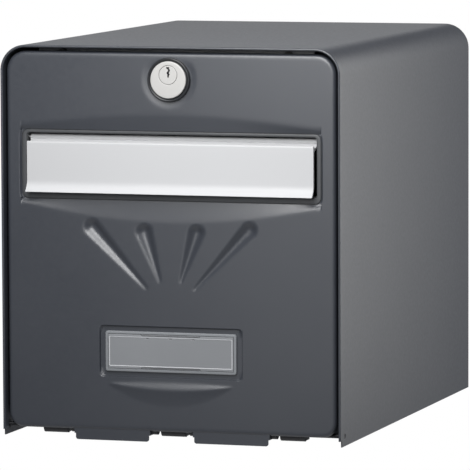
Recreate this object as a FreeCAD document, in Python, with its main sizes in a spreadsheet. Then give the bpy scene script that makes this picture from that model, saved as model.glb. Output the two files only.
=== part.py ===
import FreeCAD, Part
import os
from math import acos, atan2, pi
import Sketcher

# Wall mounted mailbox in bent sheet steel with a drop-down front door.
# Millimetres. +X right, +Y towards the wall, +Z up.
# The origin is the middle of the four wall screw holes, on the rear face.

os.makedirs("parts", exist_ok=True)
doc = FreeCAD.newDocument("mailbox")
sheet = doc.addObject("Spreadsheet::Sheet", "Size")

SIZES = {
    # casing
    "width": 285, "height": 317, "depth": 400, "skin": 1.0, "corner": 21,
    "hem": 8, "hem_foot": 5, "foot_setback": 4, "back_flange": 12, "back_corner": 2,
    "wall_span": 200, "wall_rise": 200, "wall_hole": 6.5, "hole_height": 165,
    "floor_rise": 7.5, "floor_gap": 4.8, "floor_flange": 10, "notch_deep": 12, "notch_wide": 9,
    # hinge
    "rod_inset": 12, "rod_height": 8.1, "rod_bore": 4.0, "rod_wall_gap": 0.15,
    "rod_recess": 0.5, "run_gap": 0.05, "stop_gap": 0.4, "door_open": 95,
    "pillow_half": 10, "pillow_pitch": 100, "pillow_barrel": 11, "pillow_below": 5,
    "pillow_above": 5.5, "rail_thick": 1.5, "rail_edge": 5.6, "rail_shelf": 16,
    "lug_foot": 0.6, "lug_inset": 6,
    "rail_end_gap": 6, "screw_bore": 3.0, "screw_head": 6.0, "screw_cap": 1.8,
    "screw_long": 5, "screw_pitch": 12, "clip_face": 7.6, "clip_thick": 0.6, "clip_gap": 0.1,
    "leaf": 1.2, "leaf_top": 30, "tab_low": 19.2, "tab_wide": 62, "tab_below": 1.4, "tab_corner": 2,
    "ear_margin": 1.3, "ear_above": 5, "bush_face": 9.2, "bush_neck": 6.4,
    "bush_long": 4.3, "bush_tail": 0.6,
    # door
    "setback": 2.5, "side_gap": 2.3, "top_gap": 3.0, "door_foot": 7.0, "door_flange": 12,
    "door_edge": 3, "door_corner": 12, "door_crown": 16, "door_lip": 3,
    # mail slot and its flap
    "slot_margin": 12.3, "slot_tall": 56.5, "slot_drop": 62.7, "slot_corner": 5.5,
    "slot_sink": 2, "lens_rise": 12.5, "lens_drop": 17, "lens_end": 1.5,
    "frame_gap": 0.5, "frame_lap": 8, "band_side": 4.1, "band_low": 5.7, "band_high": 3.1,
    "mouth_corner": 2.5, "throat": 14, "flap_end_gap": 1.5, "flap_axis_inset": 12.5,
    "flap_axis_drop": 6.9, "bead": 5.2, "axle": 3.0, "flap_thick": 2.0,
    "flap_face_inset": 0.5, "flap_top_drop": 2.0, "flap_roll": 2.4, "roll_deep": 0.6, "roll_low": 0.8,
    "crease_rise": 6,
    "lip_gap": 6.2, "lip_inset": -4.5, "web_root": 1.9, "web_drop": 4, "web_thick": 1.8,
    "buffer_wide": 8, "buffer_tall": 9, "buffer_deep": 5, "buffer_inset": 21.8,
    # pressed grooves, their heights as parts of the room between the slot and the name plate
    "groove_sink": 1.5, "groove_head": 7, "groove_tail": 1.2,
    "outer_head": 66, "outer_head_part": 0.786, "outer_tail": 20.5, "outer_tail_part": 0.309,
    "inner_head": 21.9, "inner_head_part": 0.755, "inner_tail": 9, "inner_tail_part": 0.368,
    # lock
    "lock_drop": 21.5, "plug": 15.5, "plug_rise": 3.9, "plug_wall": 0.7, "face_lip": 2.75,
    "bezel_wall": 3.05, "bezel_proud": 2.6, "bezel_round": 0.8, "face_proud": 3.4, "face_thick": 1.9,
    "hole_gap": 0.2, "nut_lip": 3.6, "nut_thick": 3.5,
    "key_tall": 9, "key_wide": 1.6, "key_deep": 12, "square": 8, "cam_gap": 0.4,
    "cam_thick": 2, "cam_wide": 14, "cam_arm": 11, "cam_corner": 2, "cam_tip_gap": 1.6, "washer_face": 12,
    "washer_thick": 1, "cam_screw": 4, "cam_screw_long": 8, "cam_screw_head": 7,
    "cam_screw_cap": 2.6, "plug_back": 0.1,
    # strike rail and buffers
    "strike_gap": 1.6, "strike_shelf": 15, "strike_end_gap": 5.5,
    "stud": 8, "stud_long": 4.1, "stud_inset": 21, "stud_drop": 2.5,
    # name plate
    "plate_height": 71.4, "recess_wide": 119.8, "recess_tall": 40.8, "recess_corner": 3.5,
    "recess_sink": 2, "holder_wide": 110.3, "holder_tall": 32.6, "holder_thick": 1.2,
    "holder_rim": 0.8, "holder_corner": 2, "rim_wide": 2.2,
    "card_wide": 104, "card_tall": 24, "card_thick": 0.3,
    "window_gap": 0.3, "window_thick": 0.8, "hook_wide": 50, "hook_tall": 2.4,
    "hook_long": 2.6, "hook_gap": 0.3,
}
for row, (alias, amount) in enumerate(SIZES.items(), start=1):
    sheet.set("A%d" % row, alias)
    sheet.set("B%d" % row, str(amount))
    sheet.setAlias("B%d" % row, alias)
doc.recompute()

# Places that several pieces share, as expressions on the sheet.
FRONT = "(-Size.depth)"
FOOT = "(-Size.hole_height)"
ROD_Y = "(-Size.depth + Size.rod_inset)"
ROD_Z = "(-Size.hole_height + Size.rod_height)"
TAB_FOOT = f"({FOOT} - Size.tab_below)"
INNER = "(Size.width/2 - Size.skin)"
CEILING = "(Size.height - Size.hole_height - Size.skin)"
HEM_IN = "(Size.width/2 - 2*Size.skin)"
DOOR_Y = "(-Size.depth + Size.setback)"
DOOR_X = f"({HEM_IN} - Size.side_gap)"
DOOR_FOOT = f"({FOOT} + Size.door_foot)"
DOOR_TOP = f"({CEILING} - Size.skin - Size.top_gap)"
DOOR_BACK = f"({DOOR_Y} + Size.door_flange)"
LEAF_Y = f"({DOOR_Y} + Size.skin)"
TAB_ARM = f"({ROD_Y} - {LEAF_Y})"
# The stop tabs' lower front corner all but reaches the rail's lugs at full opening.
RAIL_Y = (f"({ROD_Y} - {TAB_ARM}*cos(Size.door_open) + ({ROD_Z} - {TAB_FOOT})*sin(Size.door_open)"
          " + Size.stop_gap)")
FLOOR_Z = f"({ROD_Z} + Size.floor_rise)"
SLOT_TOP = f"({DOOR_TOP} - Size.slot_drop)"
SLOT_FOOT = f"({SLOT_TOP} - Size.slot_tall)"
SLOT_X = f"({DOOR_X} - Size.slot_margin)"
FRAME_Y = f"({DOOR_Y} + Size.slot_sink)"
MOUTH_X = f"({SLOT_X} - Size.band_side)"
MOUTH_FOOT = f"({SLOT_FOOT} + Size.band_low)"
MOUTH_TOP = f"({SLOT_TOP} - Size.band_high)"
FLAP_Y = "(-Size.depth + Size.flap_axis_inset)"
FLAP_Z = f"({SLOT_TOP} - Size.flap_axis_drop)"
LOCK_Z = f"({DOOR_TOP} - Size.lock_drop)"
PLUG_Z = f"({LOCK_Z} + Size.plug_rise)"
BARREL = "(Size.plug + 2*(Size.run_gap + Size.plug_rise + Size.plug_wall))"
FACE = f"({BARREL} + 2*Size.face_lip)"
STRIKE_Y = f"({DOOR_BACK} + Size.stop_gap + Size.stud_long)"
STRIKE_X = "(Size.width/2 - Size.corner - Size.strike_end_gap)"
STRIKE_FOOT = f"(max({PLUG_Z} + Size.cam_wide/2; {LOCK_Z} + {BARREL}/2) + Size.strike_gap)"
BARREL_Y = f"({STRIKE_Y} + Size.skin)"
CAM_Y = f"({BARREL_Y} + Size.cam_gap)"
CAM_END = f"({CAM_Y} + Size.cam_thick)"
PLATE_Z = f"({FOOT} + Size.plate_height)"
PLATE_Y = f"({DOOR_Y} + Size.recess_sink)"
PLATE_TOP = f"({PLATE_Z} + Size.recess_tall/2)"

PLANES = {"front": ("XZ_Plane", -1), "side": ("YZ_Plane", 1), "level": ("XY_Plane", 1)}
made = []


def value(expression):
    """Number that an expression on the sheet stands for."""
    return float(sheet.evalExpression(str(expression)))


def minus(expression):
    return f"(-({expression}))"


def new_piece(name):
    """Empty body whose label is the node's name."""
    body = doc.addObject("PartDesign::Body", name)
    body.Label = name
    made.append(body)
    return body


def new_sketch(body, plane, level):
    """Sketch on one of the body's own origin planes, moved to a level along its normal."""
    role, sign = PLANES[plane]
    sketch = body.newObject("Sketcher::SketchObject", body.Name + "_sketch")
    support = [item for item in body.Origin.OriginFeatures if item.Role == role][0]
    sketch.AttachmentSupport = [(support, "")]
    sketch.MapMode = "FlatFace"
    sketch.setExpression("AttachmentOffset.Base.z", f"{sign}*({level})")
    return sketch


def bind(sketch, kind, expression, *where):
    """Named dimension that follows an expression."""
    index = sketch.addConstraint(Sketcher.Constraint(kind, *where, value(expression)))
    name = "size%d" % index
    sketch.renameConstraint(index, name)
    sketch.setExpression("Constraints." + name, str(expression))


def pin(sketch, index, end, across, up):
    """Ties one end of a piece of geometry to a place measured from the sketch's origin."""
    bind(sketch, "DistanceX", across, -1, 1, index, end)
    bind(sketch, "DistanceY", up, -1, 1, index, end)


def polygon(points):
    """Closed outline of straight lines through pairs of expressions."""
    def draw(sketch):
        spots = [FreeCAD.Vector(value(across), value(up), 0) for across, up in points]
        count = len(spots)
        for index in range(count):
            sketch.addGeometry(Part.LineSegment(spots[index], spots[(index + 1) % count]))
        for index in range(count):
            sketch.addConstraint(Sketcher.Constraint("Coincident", index, 2, (index + 1) % count, 1))
        for index, (across, up) in enumerate(points):
            pin(sketch, index, 1, across, up)
    return draw


def circle(across, up, diameter):
    """Circle at a pair of expressions."""
    def draw(sketch):
        middle = FreeCAD.Vector(value(across), value(up), 0)
        sketch.addGeometry(Part.Circle(middle, FreeCAD.Vector(0, 0, 1), value(diameter) / 2))
        pin(sketch, 0, 3, across, up)
        bind(sketch, "Diameter", diameter, 0)
    return draw


def rectangle(left, foot, right, top):
    """Closed outline with square corners."""
    return polygon([(left, foot), (right, foot), (right, top), (left, top)])


def rounded(left, foot, right, top, low_radius, high_radius):
    """Rectangle whose two lower and two upper corners are quarter circles."""
    def draw(sketch):
        corners = [(right, foot, low_radius, -1, 1, -pi / 2), (right, top, high_radius, -1, -1, 0),
                   (left, top, high_radius, 1, -1, pi / 2), (left, foot, low_radius, 1, 1, pi)]
        up = FreeCAD.Vector(0, 0, 1)
        for across, height, radius, inward, upward, start in corners:
            reach = value(radius)
            middle = FreeCAD.Vector(value(across) + inward * reach, value(height) + upward * reach, 0)
            sketch.addGeometry(Part.ArcOfCircle(Part.Circle(middle, up, reach), start, start + pi / 2))
        for index in range(4):
            follower = (index + 1) % 4
            start = sketch.getPoint(index, 2)
            stop = sketch.getPoint(follower, 1)
            line = sketch.addGeometry(Part.LineSegment(start, stop))
            sketch.addConstraint(Sketcher.Constraint("Tangent", index, 2, line, 1))
            sketch.addConstraint(Sketcher.Constraint("Tangent", line, 2, follower, 1))
            sketch.addConstraint(Sketcher.Constraint("Vertical" if index % 2 == 0 else "Horizontal", line))
        for index, (across, height, radius, _, _, _) in enumerate(corners):
            bind(sketch, "Radius", radius, index)
        bind(sketch, "DistanceX", right, -1, 1, 4, 1)
        bind(sketch, "DistanceY", top, -1, 1, 5, 1)
        bind(sketch, "DistanceX", left, -1, 1, 6, 1)
        bind(sketch, "DistanceY", foot, -1, 1, 7, 1)
    return draw


def pad(body, plane, low, high, draw):
    """Adds a solid between two levels along the plane's axis."""
    sketch = new_sketch(body, plane, low)
    draw(sketch)
    feature = body.newObject("PartDesign::Pad", body.Name + "_pad")
    feature.Profile = sketch
    feature.setExpression("Length", f"({high}) - ({low})")
    feature.Reversed = plane == "front"
    doc.recompute()
    return feature


def cut(body, plane, low, high, draw):
    """Removes what lies between two levels along the plane's axis."""
    before = body.Shape.Volume
    sketch = new_sketch(body, plane, low)
    draw(sketch)
    feature = body.newObject("PartDesign::Pocket", body.Name + "_cut")
    feature.Profile = sketch
    feature.setExpression("Length", f"({high}) - ({low})")
    feature.Reversed = plane != "front"
    doc.recompute()
    if not body.Shape.Volume < before - 1e-3:
        raise RuntimeError(body.Name + ": a pocket removed nothing")
    return feature


def fillet(body, radius, chosen):
    """Rounds the edges of the body's last feature that a test picks."""
    base = body.Tip
    names = ["Edge%d" % (index + 1) for index, edge in enumerate(base.Shape.Edges) if chosen(edge)]
    feature = body.newObject("PartDesign::Fillet", body.Name + "_fillet")
    feature.Base = (base, names)
    feature.setExpression("Radius", radius)
    doc.recompute()
    return feature


def on_level(axis, level):
    """Test for edges that lie wholly in one plane across an axis."""
    place = value(level)

    def test(edge):
        box = edge.BoundBox
        low = (box.XMin, box.YMin, box.ZMin)[axis]
        high = (box.XMax, box.YMax, box.ZMax)[axis]
        return abs(low - place) < 1e-4 and abs(high - place) < 1e-4
    return test


def mirrored_pair(amount):
    """The same distance to the left and to the right."""
    return (minus(amount), amount)


def arch(half, foot, top, radius, thickness):
    """Upside-down U strip: legs down to the foot, rounded shoulders of the given outer radius."""
    def draw(sketch):
        up = FreeCAD.Vector(0, 0, 1)
        width, base, crown = value(half), value(foot), value(top)
        outer, wall = value(radius), value(thickness)
        for inset in (0, wall):
            reach = outer - inset
            for side, begin in ((1, 0), (-1, pi / 2)):
                middle = FreeCAD.Vector(side * (width - outer), crown - outer, 0)
                sketch.addGeometry(Part.ArcOfCircle(Part.Circle(middle, up, reach), begin, begin + pi / 2))
        lines = []
        for first, inset in ((0, 0), (2, wall)):
            right, left = first, first + 1
            foot_right = FreeCAD.Vector(width - inset, base, 0)
            foot_left = FreeCAD.Vector(inset - width, base, 0)
            runs = [(foot_right, sketch.getPoint(right, 1), right, 1, "Vertical"),
                    (foot_left, sketch.getPoint(left, 2), left, 2, "Vertical")]
            for start, stop, arc, end, way in runs:
                line = sketch.addGeometry(Part.LineSegment(start, stop))
                sketch.addConstraint(Sketcher.Constraint("Tangent", line, 2, arc, end))
                sketch.addConstraint(Sketcher.Constraint(way, line))
                lines.append(line)
            line = sketch.addGeometry(Part.LineSegment(sketch.getPoint(right, 2), sketch.getPoint(left, 1)))
            sketch.addConstraint(Sketcher.Constraint("Tangent", line, 1, right, 2))
            sketch.addConstraint(Sketcher.Constraint("Tangent", line, 2, left, 1))
            sketch.addConstraint(Sketcher.Constraint("Horizontal", line))
            shrink = f"({thickness})" if inset else "0"
            bind(sketch, "Radius", f"({radius}) - {shrink}", right)
            bind(sketch, "Radius", f"({radius}) - {shrink}", left)
            bind(sketch, "DistanceX", f"({half}) - {shrink}", -1, 1, lines[-2], 1)
            bind(sketch, "DistanceX", minus(f"({half}) - {shrink}"), -1, 1, lines[-1], 1)
            bind(sketch, "DistanceY", f"({top}) - {shrink}", -1, 1, line, 1)
            bind(sketch, "DistanceY", foot, -1, 1, lines[-2], 1)
            bind(sketch, "DistanceY", foot, -1, 1, lines[-1], 1)
        for outer_leg, inner_leg in ((0, 2), (1, 3)):
            start = sketch.getPoint(lines[outer_leg], 1)
            stop = sketch.getPoint(lines[inner_leg], 1)
            line = sketch.addGeometry(Part.LineSegment(start, stop))
            sketch.addConstraint(Sketcher.Constraint("Coincident", line, 1, lines[outer_leg], 1))
            sketch.addConstraint(Sketcher.Constraint("Coincident", line, 2, lines[inner_leg], 1))
    return draw


def lens(grow):
    """Outline round the mail slot: upright ends joined by a rising and a sagging arc."""
    half = f"({SLOT_X} + {grow})"
    low_end = f"({SLOT_FOOT} - Size.lens_end - {grow})"
    high_end = f"({SLOT_TOP} + Size.lens_end + {grow})"
    low_mid = f"({SLOT_FOOT} - Size.lens_drop - {grow})"
    high_mid = f"({SLOT_TOP} + Size.lens_rise + {grow})"

    def draw(sketch):
        left, right = -value(half), value(half)
        spot = FreeCAD.Vector
        sketch.addGeometry(Part.Arc(spot(left, value(low_end), 0), spot(0, value(low_mid), 0),
                                    spot(right, value(low_end), 0)))
        sketch.addGeometry(Part.Arc(spot(right, value(high_end), 0), spot(0, value(high_mid), 0),
                                    spot(left, value(high_end), 0)))
        lower_ends = (sketch.getPoint(0, 1), sketch.getPoint(0, 2))
        upper_ends = (sketch.getPoint(1, 1), sketch.getPoint(1, 2))
        sketch.addGeometry(Part.LineSegment(lower_ends[1], upper_ends[0]))
        sketch.addGeometry(Part.LineSegment(upper_ends[1], lower_ends[0]))
        sketch.addConstraint(Sketcher.Constraint("Coincident", 0, 2, 2, 1))
        sketch.addConstraint(Sketcher.Constraint("Coincident", 2, 2, 1, 1))
        sketch.addConstraint(Sketcher.Constraint("Coincident", 1, 2, 3, 1))
        sketch.addConstraint(Sketcher.Constraint("Coincident", 3, 2, 0, 1))
        pin(sketch, 0, 1, minus(half), low_end)
        pin(sketch, 0, 2, half, low_end)
        pin(sketch, 1, 1, half, high_end)
        pin(sketch, 1, 2, minus(half), high_end)
        for arc, end, middle in ((0, low_end, low_mid), (1, high_end, high_mid)):
            sagitta = f"abs({middle} - {end})"
            bind(sketch, "Radius", f"({half}^2 + {sagitta}^2)/(2*{sagitta})", arc)
    return draw


def outer_shell():
    """Top and both sides in one bent sheet; the front edge is hemmed, the lower corners are set back."""
    body = new_piece("outer_shell")
    half = "Size.width/2"
    top = "Size.height - Size.hole_height"
    hem_foot = f"{FOOT} + Size.hem_foot"
    pad(body, "front", FRONT, "0", arch(half, FOOT, top, "Size.corner", "Size.skin"))
    pad(body, "front", FRONT, f"{FRONT} + Size.hem",
        arch(INNER, hem_foot, CEILING, "Size.corner - Size.skin", "Size.skin"))
    cut(body, "front", FRONT, f"{FRONT} + Size.foot_setback",
        rectangle(minus(half), FOOT, half, hem_foot))
    cut(body, "side", minus(half), half, circle(ROD_Y, ROD_Z, "Size.rod_bore + 2*Size.rod_wall_gap"))
    return body


def back_panel():
    """Flanged tray that closes the casing against the wall, with four screw holes."""
    body = new_piece("back_panel")
    foot = f"({FLOOR_Z} - Size.floor_flange)"
    inner_radius = "Size.corner - Size.skin"
    inside = f"({INNER} - Size.skin)"
    pad(body, "front", "-Size.back_flange", "0",
        rounded(minus(INNER), foot, INNER, CEILING, "Size.back_corner", inner_radius))
    cut(body, "front", "-Size.back_flange", "-Size.skin",
        rounded(minus(inside), f"{foot} - 2*Size.back_corner", inside, f"{CEILING} - Size.skin",
                "Size.back_corner", f"{inner_radius} - Size.skin"))
    cut(body, "level", foot, f"{FLOOR_Z} + Size.skin",
        rectangle(minus(INNER), "-Size.back_flange", INNER, "-Size.skin"))
    for across in mirrored_pair("Size.wall_span/2"):
        for up in mirrored_pair("Size.wall_rise/2"):
            cut(body, "front", "-Size.skin", "0", circle(across, up, "Size.wall_hole"))
    return body


def floor_panel():
    """Floor with its side and rear edges turned down, notched where the door's flanges swing."""
    body = new_piece("floor_panel")
    front = f"({LEAF_Y} + Size.leaf + Size.floor_gap)"
    notch = f"({ROD_Y} + Size.notch_deep)"
    low = FLOOR_Z
    high = f"({low} + Size.skin)"
    turned = f"({low} - Size.floor_flange)"
    narrow = f"({INNER} - Size.notch_wide)"
    pad(body, "level", low, high, polygon([
        (minus(narrow), front), (narrow, front), (narrow, notch), (INNER, notch),
        (INNER, "-Size.skin"), (minus(INNER), "-Size.skin"), (minus(INNER), notch), (minus(narrow), notch)]))
    flange_in = f"({INNER} - Size.skin)"
    rear_in = "(-2*Size.skin)"
    pad(body, "level", turned, low, polygon([
        (minus(INNER), notch), (minus(flange_in), notch), (minus(flange_in), rear_in), (flange_in, rear_in),
        (flange_in, notch), (INNER, notch), (INNER, "-Size.skin"), (minus(INNER), "-Size.skin")]))
    return body


def strike_rail():
    """Angle under the roof, just behind the door: stiffens the mouth and catches the lock's cam."""
    body = new_piece("strike_rail")
    shelf = f"({CEILING} - Size.skin)"
    pad(body, "side", minus(STRIKE_X), STRIKE_X, polygon([
        (STRIKE_Y, STRIKE_FOOT), (BARREL_Y, STRIKE_FOOT), (BARREL_Y, shelf),
        (f"{STRIKE_Y} + Size.strike_shelf", shelf), (f"{STRIKE_Y} + Size.strike_shelf", CEILING),
        (STRIKE_Y, CEILING)]))
    return body


def door_buffers():
    """Two rubber studs that the closed door's top flange meets."""
    body = new_piece("door_buffers")
    for across in mirrored_pair(f"{STRIKE_X} - Size.stud_inset"):
        pad(body, "front", f"{DOOR_BACK} + Size.stop_gap", STRIKE_Y,
            circle(across, f"{DOOR_TOP} - Size.stud_drop", "Size.stud"))
    return body


def hinge_rail():
    """Angle under the floor's front: carries the rod's blocks, and its two lugs stop the door's tabs."""
    body = new_piece("hinge_rail")
    half = f"({INNER} - Size.skin - Size.rail_end_gap)"
    rear = f"({RAIL_Y} + Size.rail_thick)"
    shelf = f"({FLOOR_Z} - Size.rail_thick)"
    edge = f"({FOOT} + Size.rail_edge)"
    pad(body, "side", minus(half), half, polygon([
        (RAIL_Y, edge), (rear, edge), (rear, shelf),
        (f"{RAIL_Y} + Size.rail_shelf", shelf), (f"{RAIL_Y} + Size.rail_shelf", FLOOR_Z),
        (RAIL_Y, FLOOR_Z)]))
    near = "(Size.tab_low + Size.lug_inset)"
    far = "(Size.tab_low + Size.tab_wide - Size.lug_inset)"
    for low, high in ((near, far), (minus(far), minus(near))):
        pad(body, "side", low, high, rectangle(RAIL_Y, f"{FOOT} + Size.lug_foot", rear, shelf))
    for across, up in screw_places():
        cut(body, "front", RAIL_Y, rear, circle(across, up, "Size.screw_bore"))
    return body


def screw_places():
    """Two screws to each of the three hinge blocks."""
    for block in (-1, 0, 1):
        for side in (-1, 1):
            yield f"({block}*Size.pillow_pitch + {side}*Size.screw_pitch/2)", ROD_Z


def hinge_block(name, place):
    """Moulded block that holds the rod: a round nose on a foot screwed to the hinge rail."""
    body = new_piece(name)
    low = f"({place}*Size.pillow_pitch - Size.pillow_half)"
    high = f"({place}*Size.pillow_pitch + Size.pillow_half)"
    pad(body, "side", low, high, circle(ROD_Y, ROD_Z, "Size.pillow_barrel"))
    pad(body, "side", low, high, rectangle(ROD_Y, f"{ROD_Z} - Size.pillow_below", RAIL_Y,
                                           f"{ROD_Z} + Size.pillow_above"))
    cut(body, "side", low, high, circle(ROD_Y, ROD_Z, "Size.rod_bore"))
    for side in (-1, 1):
        across = f"({place}*Size.pillow_pitch + {side}*Size.screw_pitch/2)"
        cut(body, "front", f"{RAIL_Y} - Size.screw_long", RAIL_Y, circle(across, ROD_Z, "Size.screw_bore"))
    return body


def block_screws():
    """Pan head screws through the hinge rail into the blocks."""
    body = new_piece("block_screws")
    rear = f"({RAIL_Y} + Size.rail_thick)"
    for across, up in screw_places():
        pad(body, "front", f"{RAIL_Y} - Size.screw_long", rear, circle(across, up, "Size.screw_bore"))
        pad(body, "front", rear, f"{rear} + Size.screw_cap", circle(across, up, "Size.screw_head"))
    return body


def hinge_rod():
    """Round rod through both sides of the casing."""
    body = new_piece("hinge_rod")
    half = "(Size.width/2 - Size.rod_recess)"
    pad(body, "side", minus(half), half, circle(ROD_Y, ROD_Z, "Size.rod_bore"))
    return body


def rod_clips():
    """Push-on washers that keep the rod from sliding out sideways."""
    body = new_piece("rod_clips")
    outer = f"({INNER} - Size.clip_gap)"
    inner = f"({outer} - Size.clip_thick)"
    for low, high in ((inner, outer), (minus(outer), minus(inner))):
        pad(body, "side", low, high, circle(ROD_Y, ROD_Z, "Size.clip_face"))
        cut(body, "side", low, high, circle(ROD_Y, ROD_Z, "Size.rod_bore"))
    return body


def sunk_panel(body, sink, outline, inner_outline):
    """Presses a pocket into the door's skin and keeps the wall's thickness behind it."""
    pad(body, "front", LEAF_Y, f"{LEAF_Y} + {sink}", outline)
    cut(body, "front", DOOR_Y, f"{DOOR_Y} + {sink}", inner_outline)


def door_panel():
    """Pressed door: flanged pan with pressed pockets for the slot, the lock and the name plate."""
    body = new_piece("door_panel")
    left, right = minus(DOOR_X), DOOR_X
    pad(body, "front", DOOR_Y, DOOR_BACK,
        rounded(left, DOOR_FOOT, right, DOOR_TOP, "Size.door_corner", "Size.door_crown"))
    fillet(body, "Size.door_edge", on_level(1, DOOR_Y))
    cut(body, "front", LEAF_Y, DOOR_BACK,
        rounded(f"{left} + Size.skin", f"{DOOR_FOOT} + Size.skin", f"{right} - Size.skin",
                f"{DOOR_TOP} - Size.skin", "Size.door_corner - Size.skin", "Size.door_crown - Size.skin"))
    fillet(body, "Size.door_edge - Size.skin", on_level(1, LEAF_Y))
    cut(body, "front", f"{DOOR_Y} + Size.door_lip", DOOR_BACK,
        rectangle(f"{left} - Size.skin", f"{DOOR_FOOT} - Size.skin", f"{right} + Size.skin",
                  f"{DOOR_FOOT} + Size.door_corner"))
    sunk_panel(body, "Size.slot_sink", lens("Size.skin"), lens("0"))
    sunk_panel(body, "Size.recess_sink", name_recess("Size.skin"), name_recess("0"))
    cut(body, "front", DOOR_Y, f"{DOOR_Y} + Size.slot_sink + Size.skin",
        rounded(minus(SLOT_X), SLOT_FOOT, SLOT_X, SLOT_TOP, "Size.slot_corner", "Size.slot_corner"))
    cut(body, "front", DOOR_Y, LEAF_Y, circle("0", LOCK_Z, f"{BARREL} + 2*Size.hole_gap"))
    for head, tail in groove_ends():
        sunk_panel(body, "Size.groove_sink", teardrop(head, tail, "Size.skin"), teardrop(head, tail, "0"))
    for low, high in hook_levels():
        cut(body, "front", PLATE_Y, f"{PLATE_Y} + Size.skin",
            rectangle("-Size.hook_wide/2 - Size.hook_gap", f"{low} - Size.hook_gap",
                      "Size.hook_wide/2 + Size.hook_gap", f"{high} + Size.hook_gap"))
    slack = "(Size.leaf + Size.stop_gap)"
    for side in (-1, 1):
        near = f"({side}*(Size.tab_low - {slack}))"
        far = f"({side}*(Size.tab_low + Size.tab_wide + {slack}))"
        left, right = (far, near) if side < 0 else (near, far)
        cut(body, "front", LEAF_Y, f"{LEAF_Y} + Size.door_lip",
            rectangle(left, f"{DOOR_FOOT} - Size.skin", right, f"{DOOR_FOOT} + Size.door_edge"))
    return body


def name_recess(grow):
    """Outline of the pocket for the name plate, grown on all sides."""
    half = f"(Size.recess_wide/2 + {grow})"
    rise = f"(Size.recess_tall/2 + {grow})"
    radius = f"(Size.recess_corner + {grow})"
    return rounded(minus(half), f"{PLATE_Z} - {rise}", half, f"{PLATE_Z} + {rise}", radius, radius)


def groove_ends():
    """Head and tail centres of the four grooves that fan out below the slot."""
    room = f"({SLOT_FOOT} - {PLATE_TOP})"
    for side in (-1, 1):
        for row in ("outer", "inner"):
            head = (f"({side}*Size.{row}_head)", f"({PLATE_TOP} + Size.{row}_head_part*{room})")
            tail = (f"({side}*Size.{row}_tail)", f"({PLATE_TOP} + Size.{row}_tail_part*{room})")
            yield head, tail


def teardrop(head, tail, grow):
    """Groove outline: a wide round head and a narrow round tail joined by tangent lines."""
    head_radius = f"(Size.groove_head + {grow})"
    tail_radius = f"(Size.groove_tail + {grow})"

    def draw(sketch):
        up = FreeCAD.Vector(0, 0, 1)
        start = FreeCAD.Vector(value(head[0]), value(head[1]), 0)
        stop = FreeCAD.Vector(value(tail[0]), value(tail[1]), 0)
        wide, narrow = value(head_radius), value(tail_radius)
        along = atan2(stop.y - start.y, stop.x - start.x)
        spread = acos((wide - narrow) / (stop - start).Length)
        sketch.addGeometry(Part.ArcOfCircle(Part.Circle(start, up, wide), along + spread,
                                            along - spread + 2 * pi))
        sketch.addGeometry(Part.ArcOfCircle(Part.Circle(stop, up, narrow), along - spread, along + spread))
        for arc, follower in ((0, 1), (1, 0)):
            start, stop = sketch.getPoint(arc, 2), sketch.getPoint(follower, 1)
            line = sketch.addGeometry(Part.LineSegment(start, stop))
            sketch.addConstraint(Sketcher.Constraint("Tangent", arc, 2, line, 1))
            sketch.addConstraint(Sketcher.Constraint("Tangent", line, 2, follower, 1))
        pin(sketch, 0, 3, *head)
        pin(sketch, 1, 3, *tail)
        bind(sketch, "Radius", head_radius, 0)
        bind(sketch, "Radius", tail_radius, 1)
    return draw


def hexagon(across, up, wide):
    """Six-sided outline with the given width across its corners."""
    return polygon([(f"({across} + {wide}/2*cos({60 * turn}))", f"({up} + {wide}/2*sin({60 * turn}))")
                    for turn in range(6)])


def hinge_bracket(name, side):
    """Plate inside the door's foot: its tab hangs below the edge, its two ears hold the bushes."""
    body = new_piece(name)
    rear = f"({LEAF_Y} + Size.leaf)"
    near = "Size.tab_low"
    far = "(Size.tab_low + Size.tab_wide)"
    reach = "(Size.bush_neck/2 + Size.ear_margin)"

    def between(low, high):
        return (minus(high), minus(low)) if side < 0 else (low, high)

    left, right = between(near, far)
    pad(body, "front", LEAF_Y, rear, rounded(left, TAB_FOOT, right, f"{FOOT} + Size.leaf_top",
                                             "Size.tab_corner", "Size.tab_corner"))
    for low, high in (between(f"{near} - Size.leaf", near), between(far, f"{far} + Size.leaf")):
        pad(body, "side", low, high, rectangle(LEAF_Y, f"{ROD_Z} - {reach}", f"{ROD_Y} + {reach}",
                                               f"{ROD_Z} + Size.ear_above"))
        cut(body, "side", low, high, circle(ROD_Y, ROD_Z, "Size.bush_neck"))
    return body


def hinge_bushes():
    """Plain bushes pressed into the brackets' ears; they run on the rod."""
    body = new_piece("hinge_bushes")
    bore = "Size.rod_bore + 2*Size.run_gap"
    near = "(Size.tab_low - Size.leaf)"
    far = "(Size.tab_low + Size.tab_wide + Size.leaf)"
    spans = [(f"({near} - Size.bush_long)", near, f"({near} + Size.leaf + Size.bush_tail)"),
             (f"({far} + Size.bush_long)", far, f"({far} - Size.leaf - Size.bush_tail)")]
    for side in (-1, 1):
        for end, shoulder, tail in spans:
            ends = [f"({side}*{place})" for place in (end, shoulder, tail)]
            if value(ends[0]) > value(ends[2]):
                ends.reverse()
                first, second = "Size.bush_neck", "Size.bush_face"
            else:
                first, second = "Size.bush_face", "Size.bush_neck"
            pad(body, "side", ends[0], ends[1], circle(ROD_Y, ROD_Z, first))
            pad(body, "side", ends[1], ends[2], circle(ROD_Y, ROD_Z, second))
            cut(body, "side", ends[0], ends[2], circle(ROD_Y, ROD_Z, bore))
    return body


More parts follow.
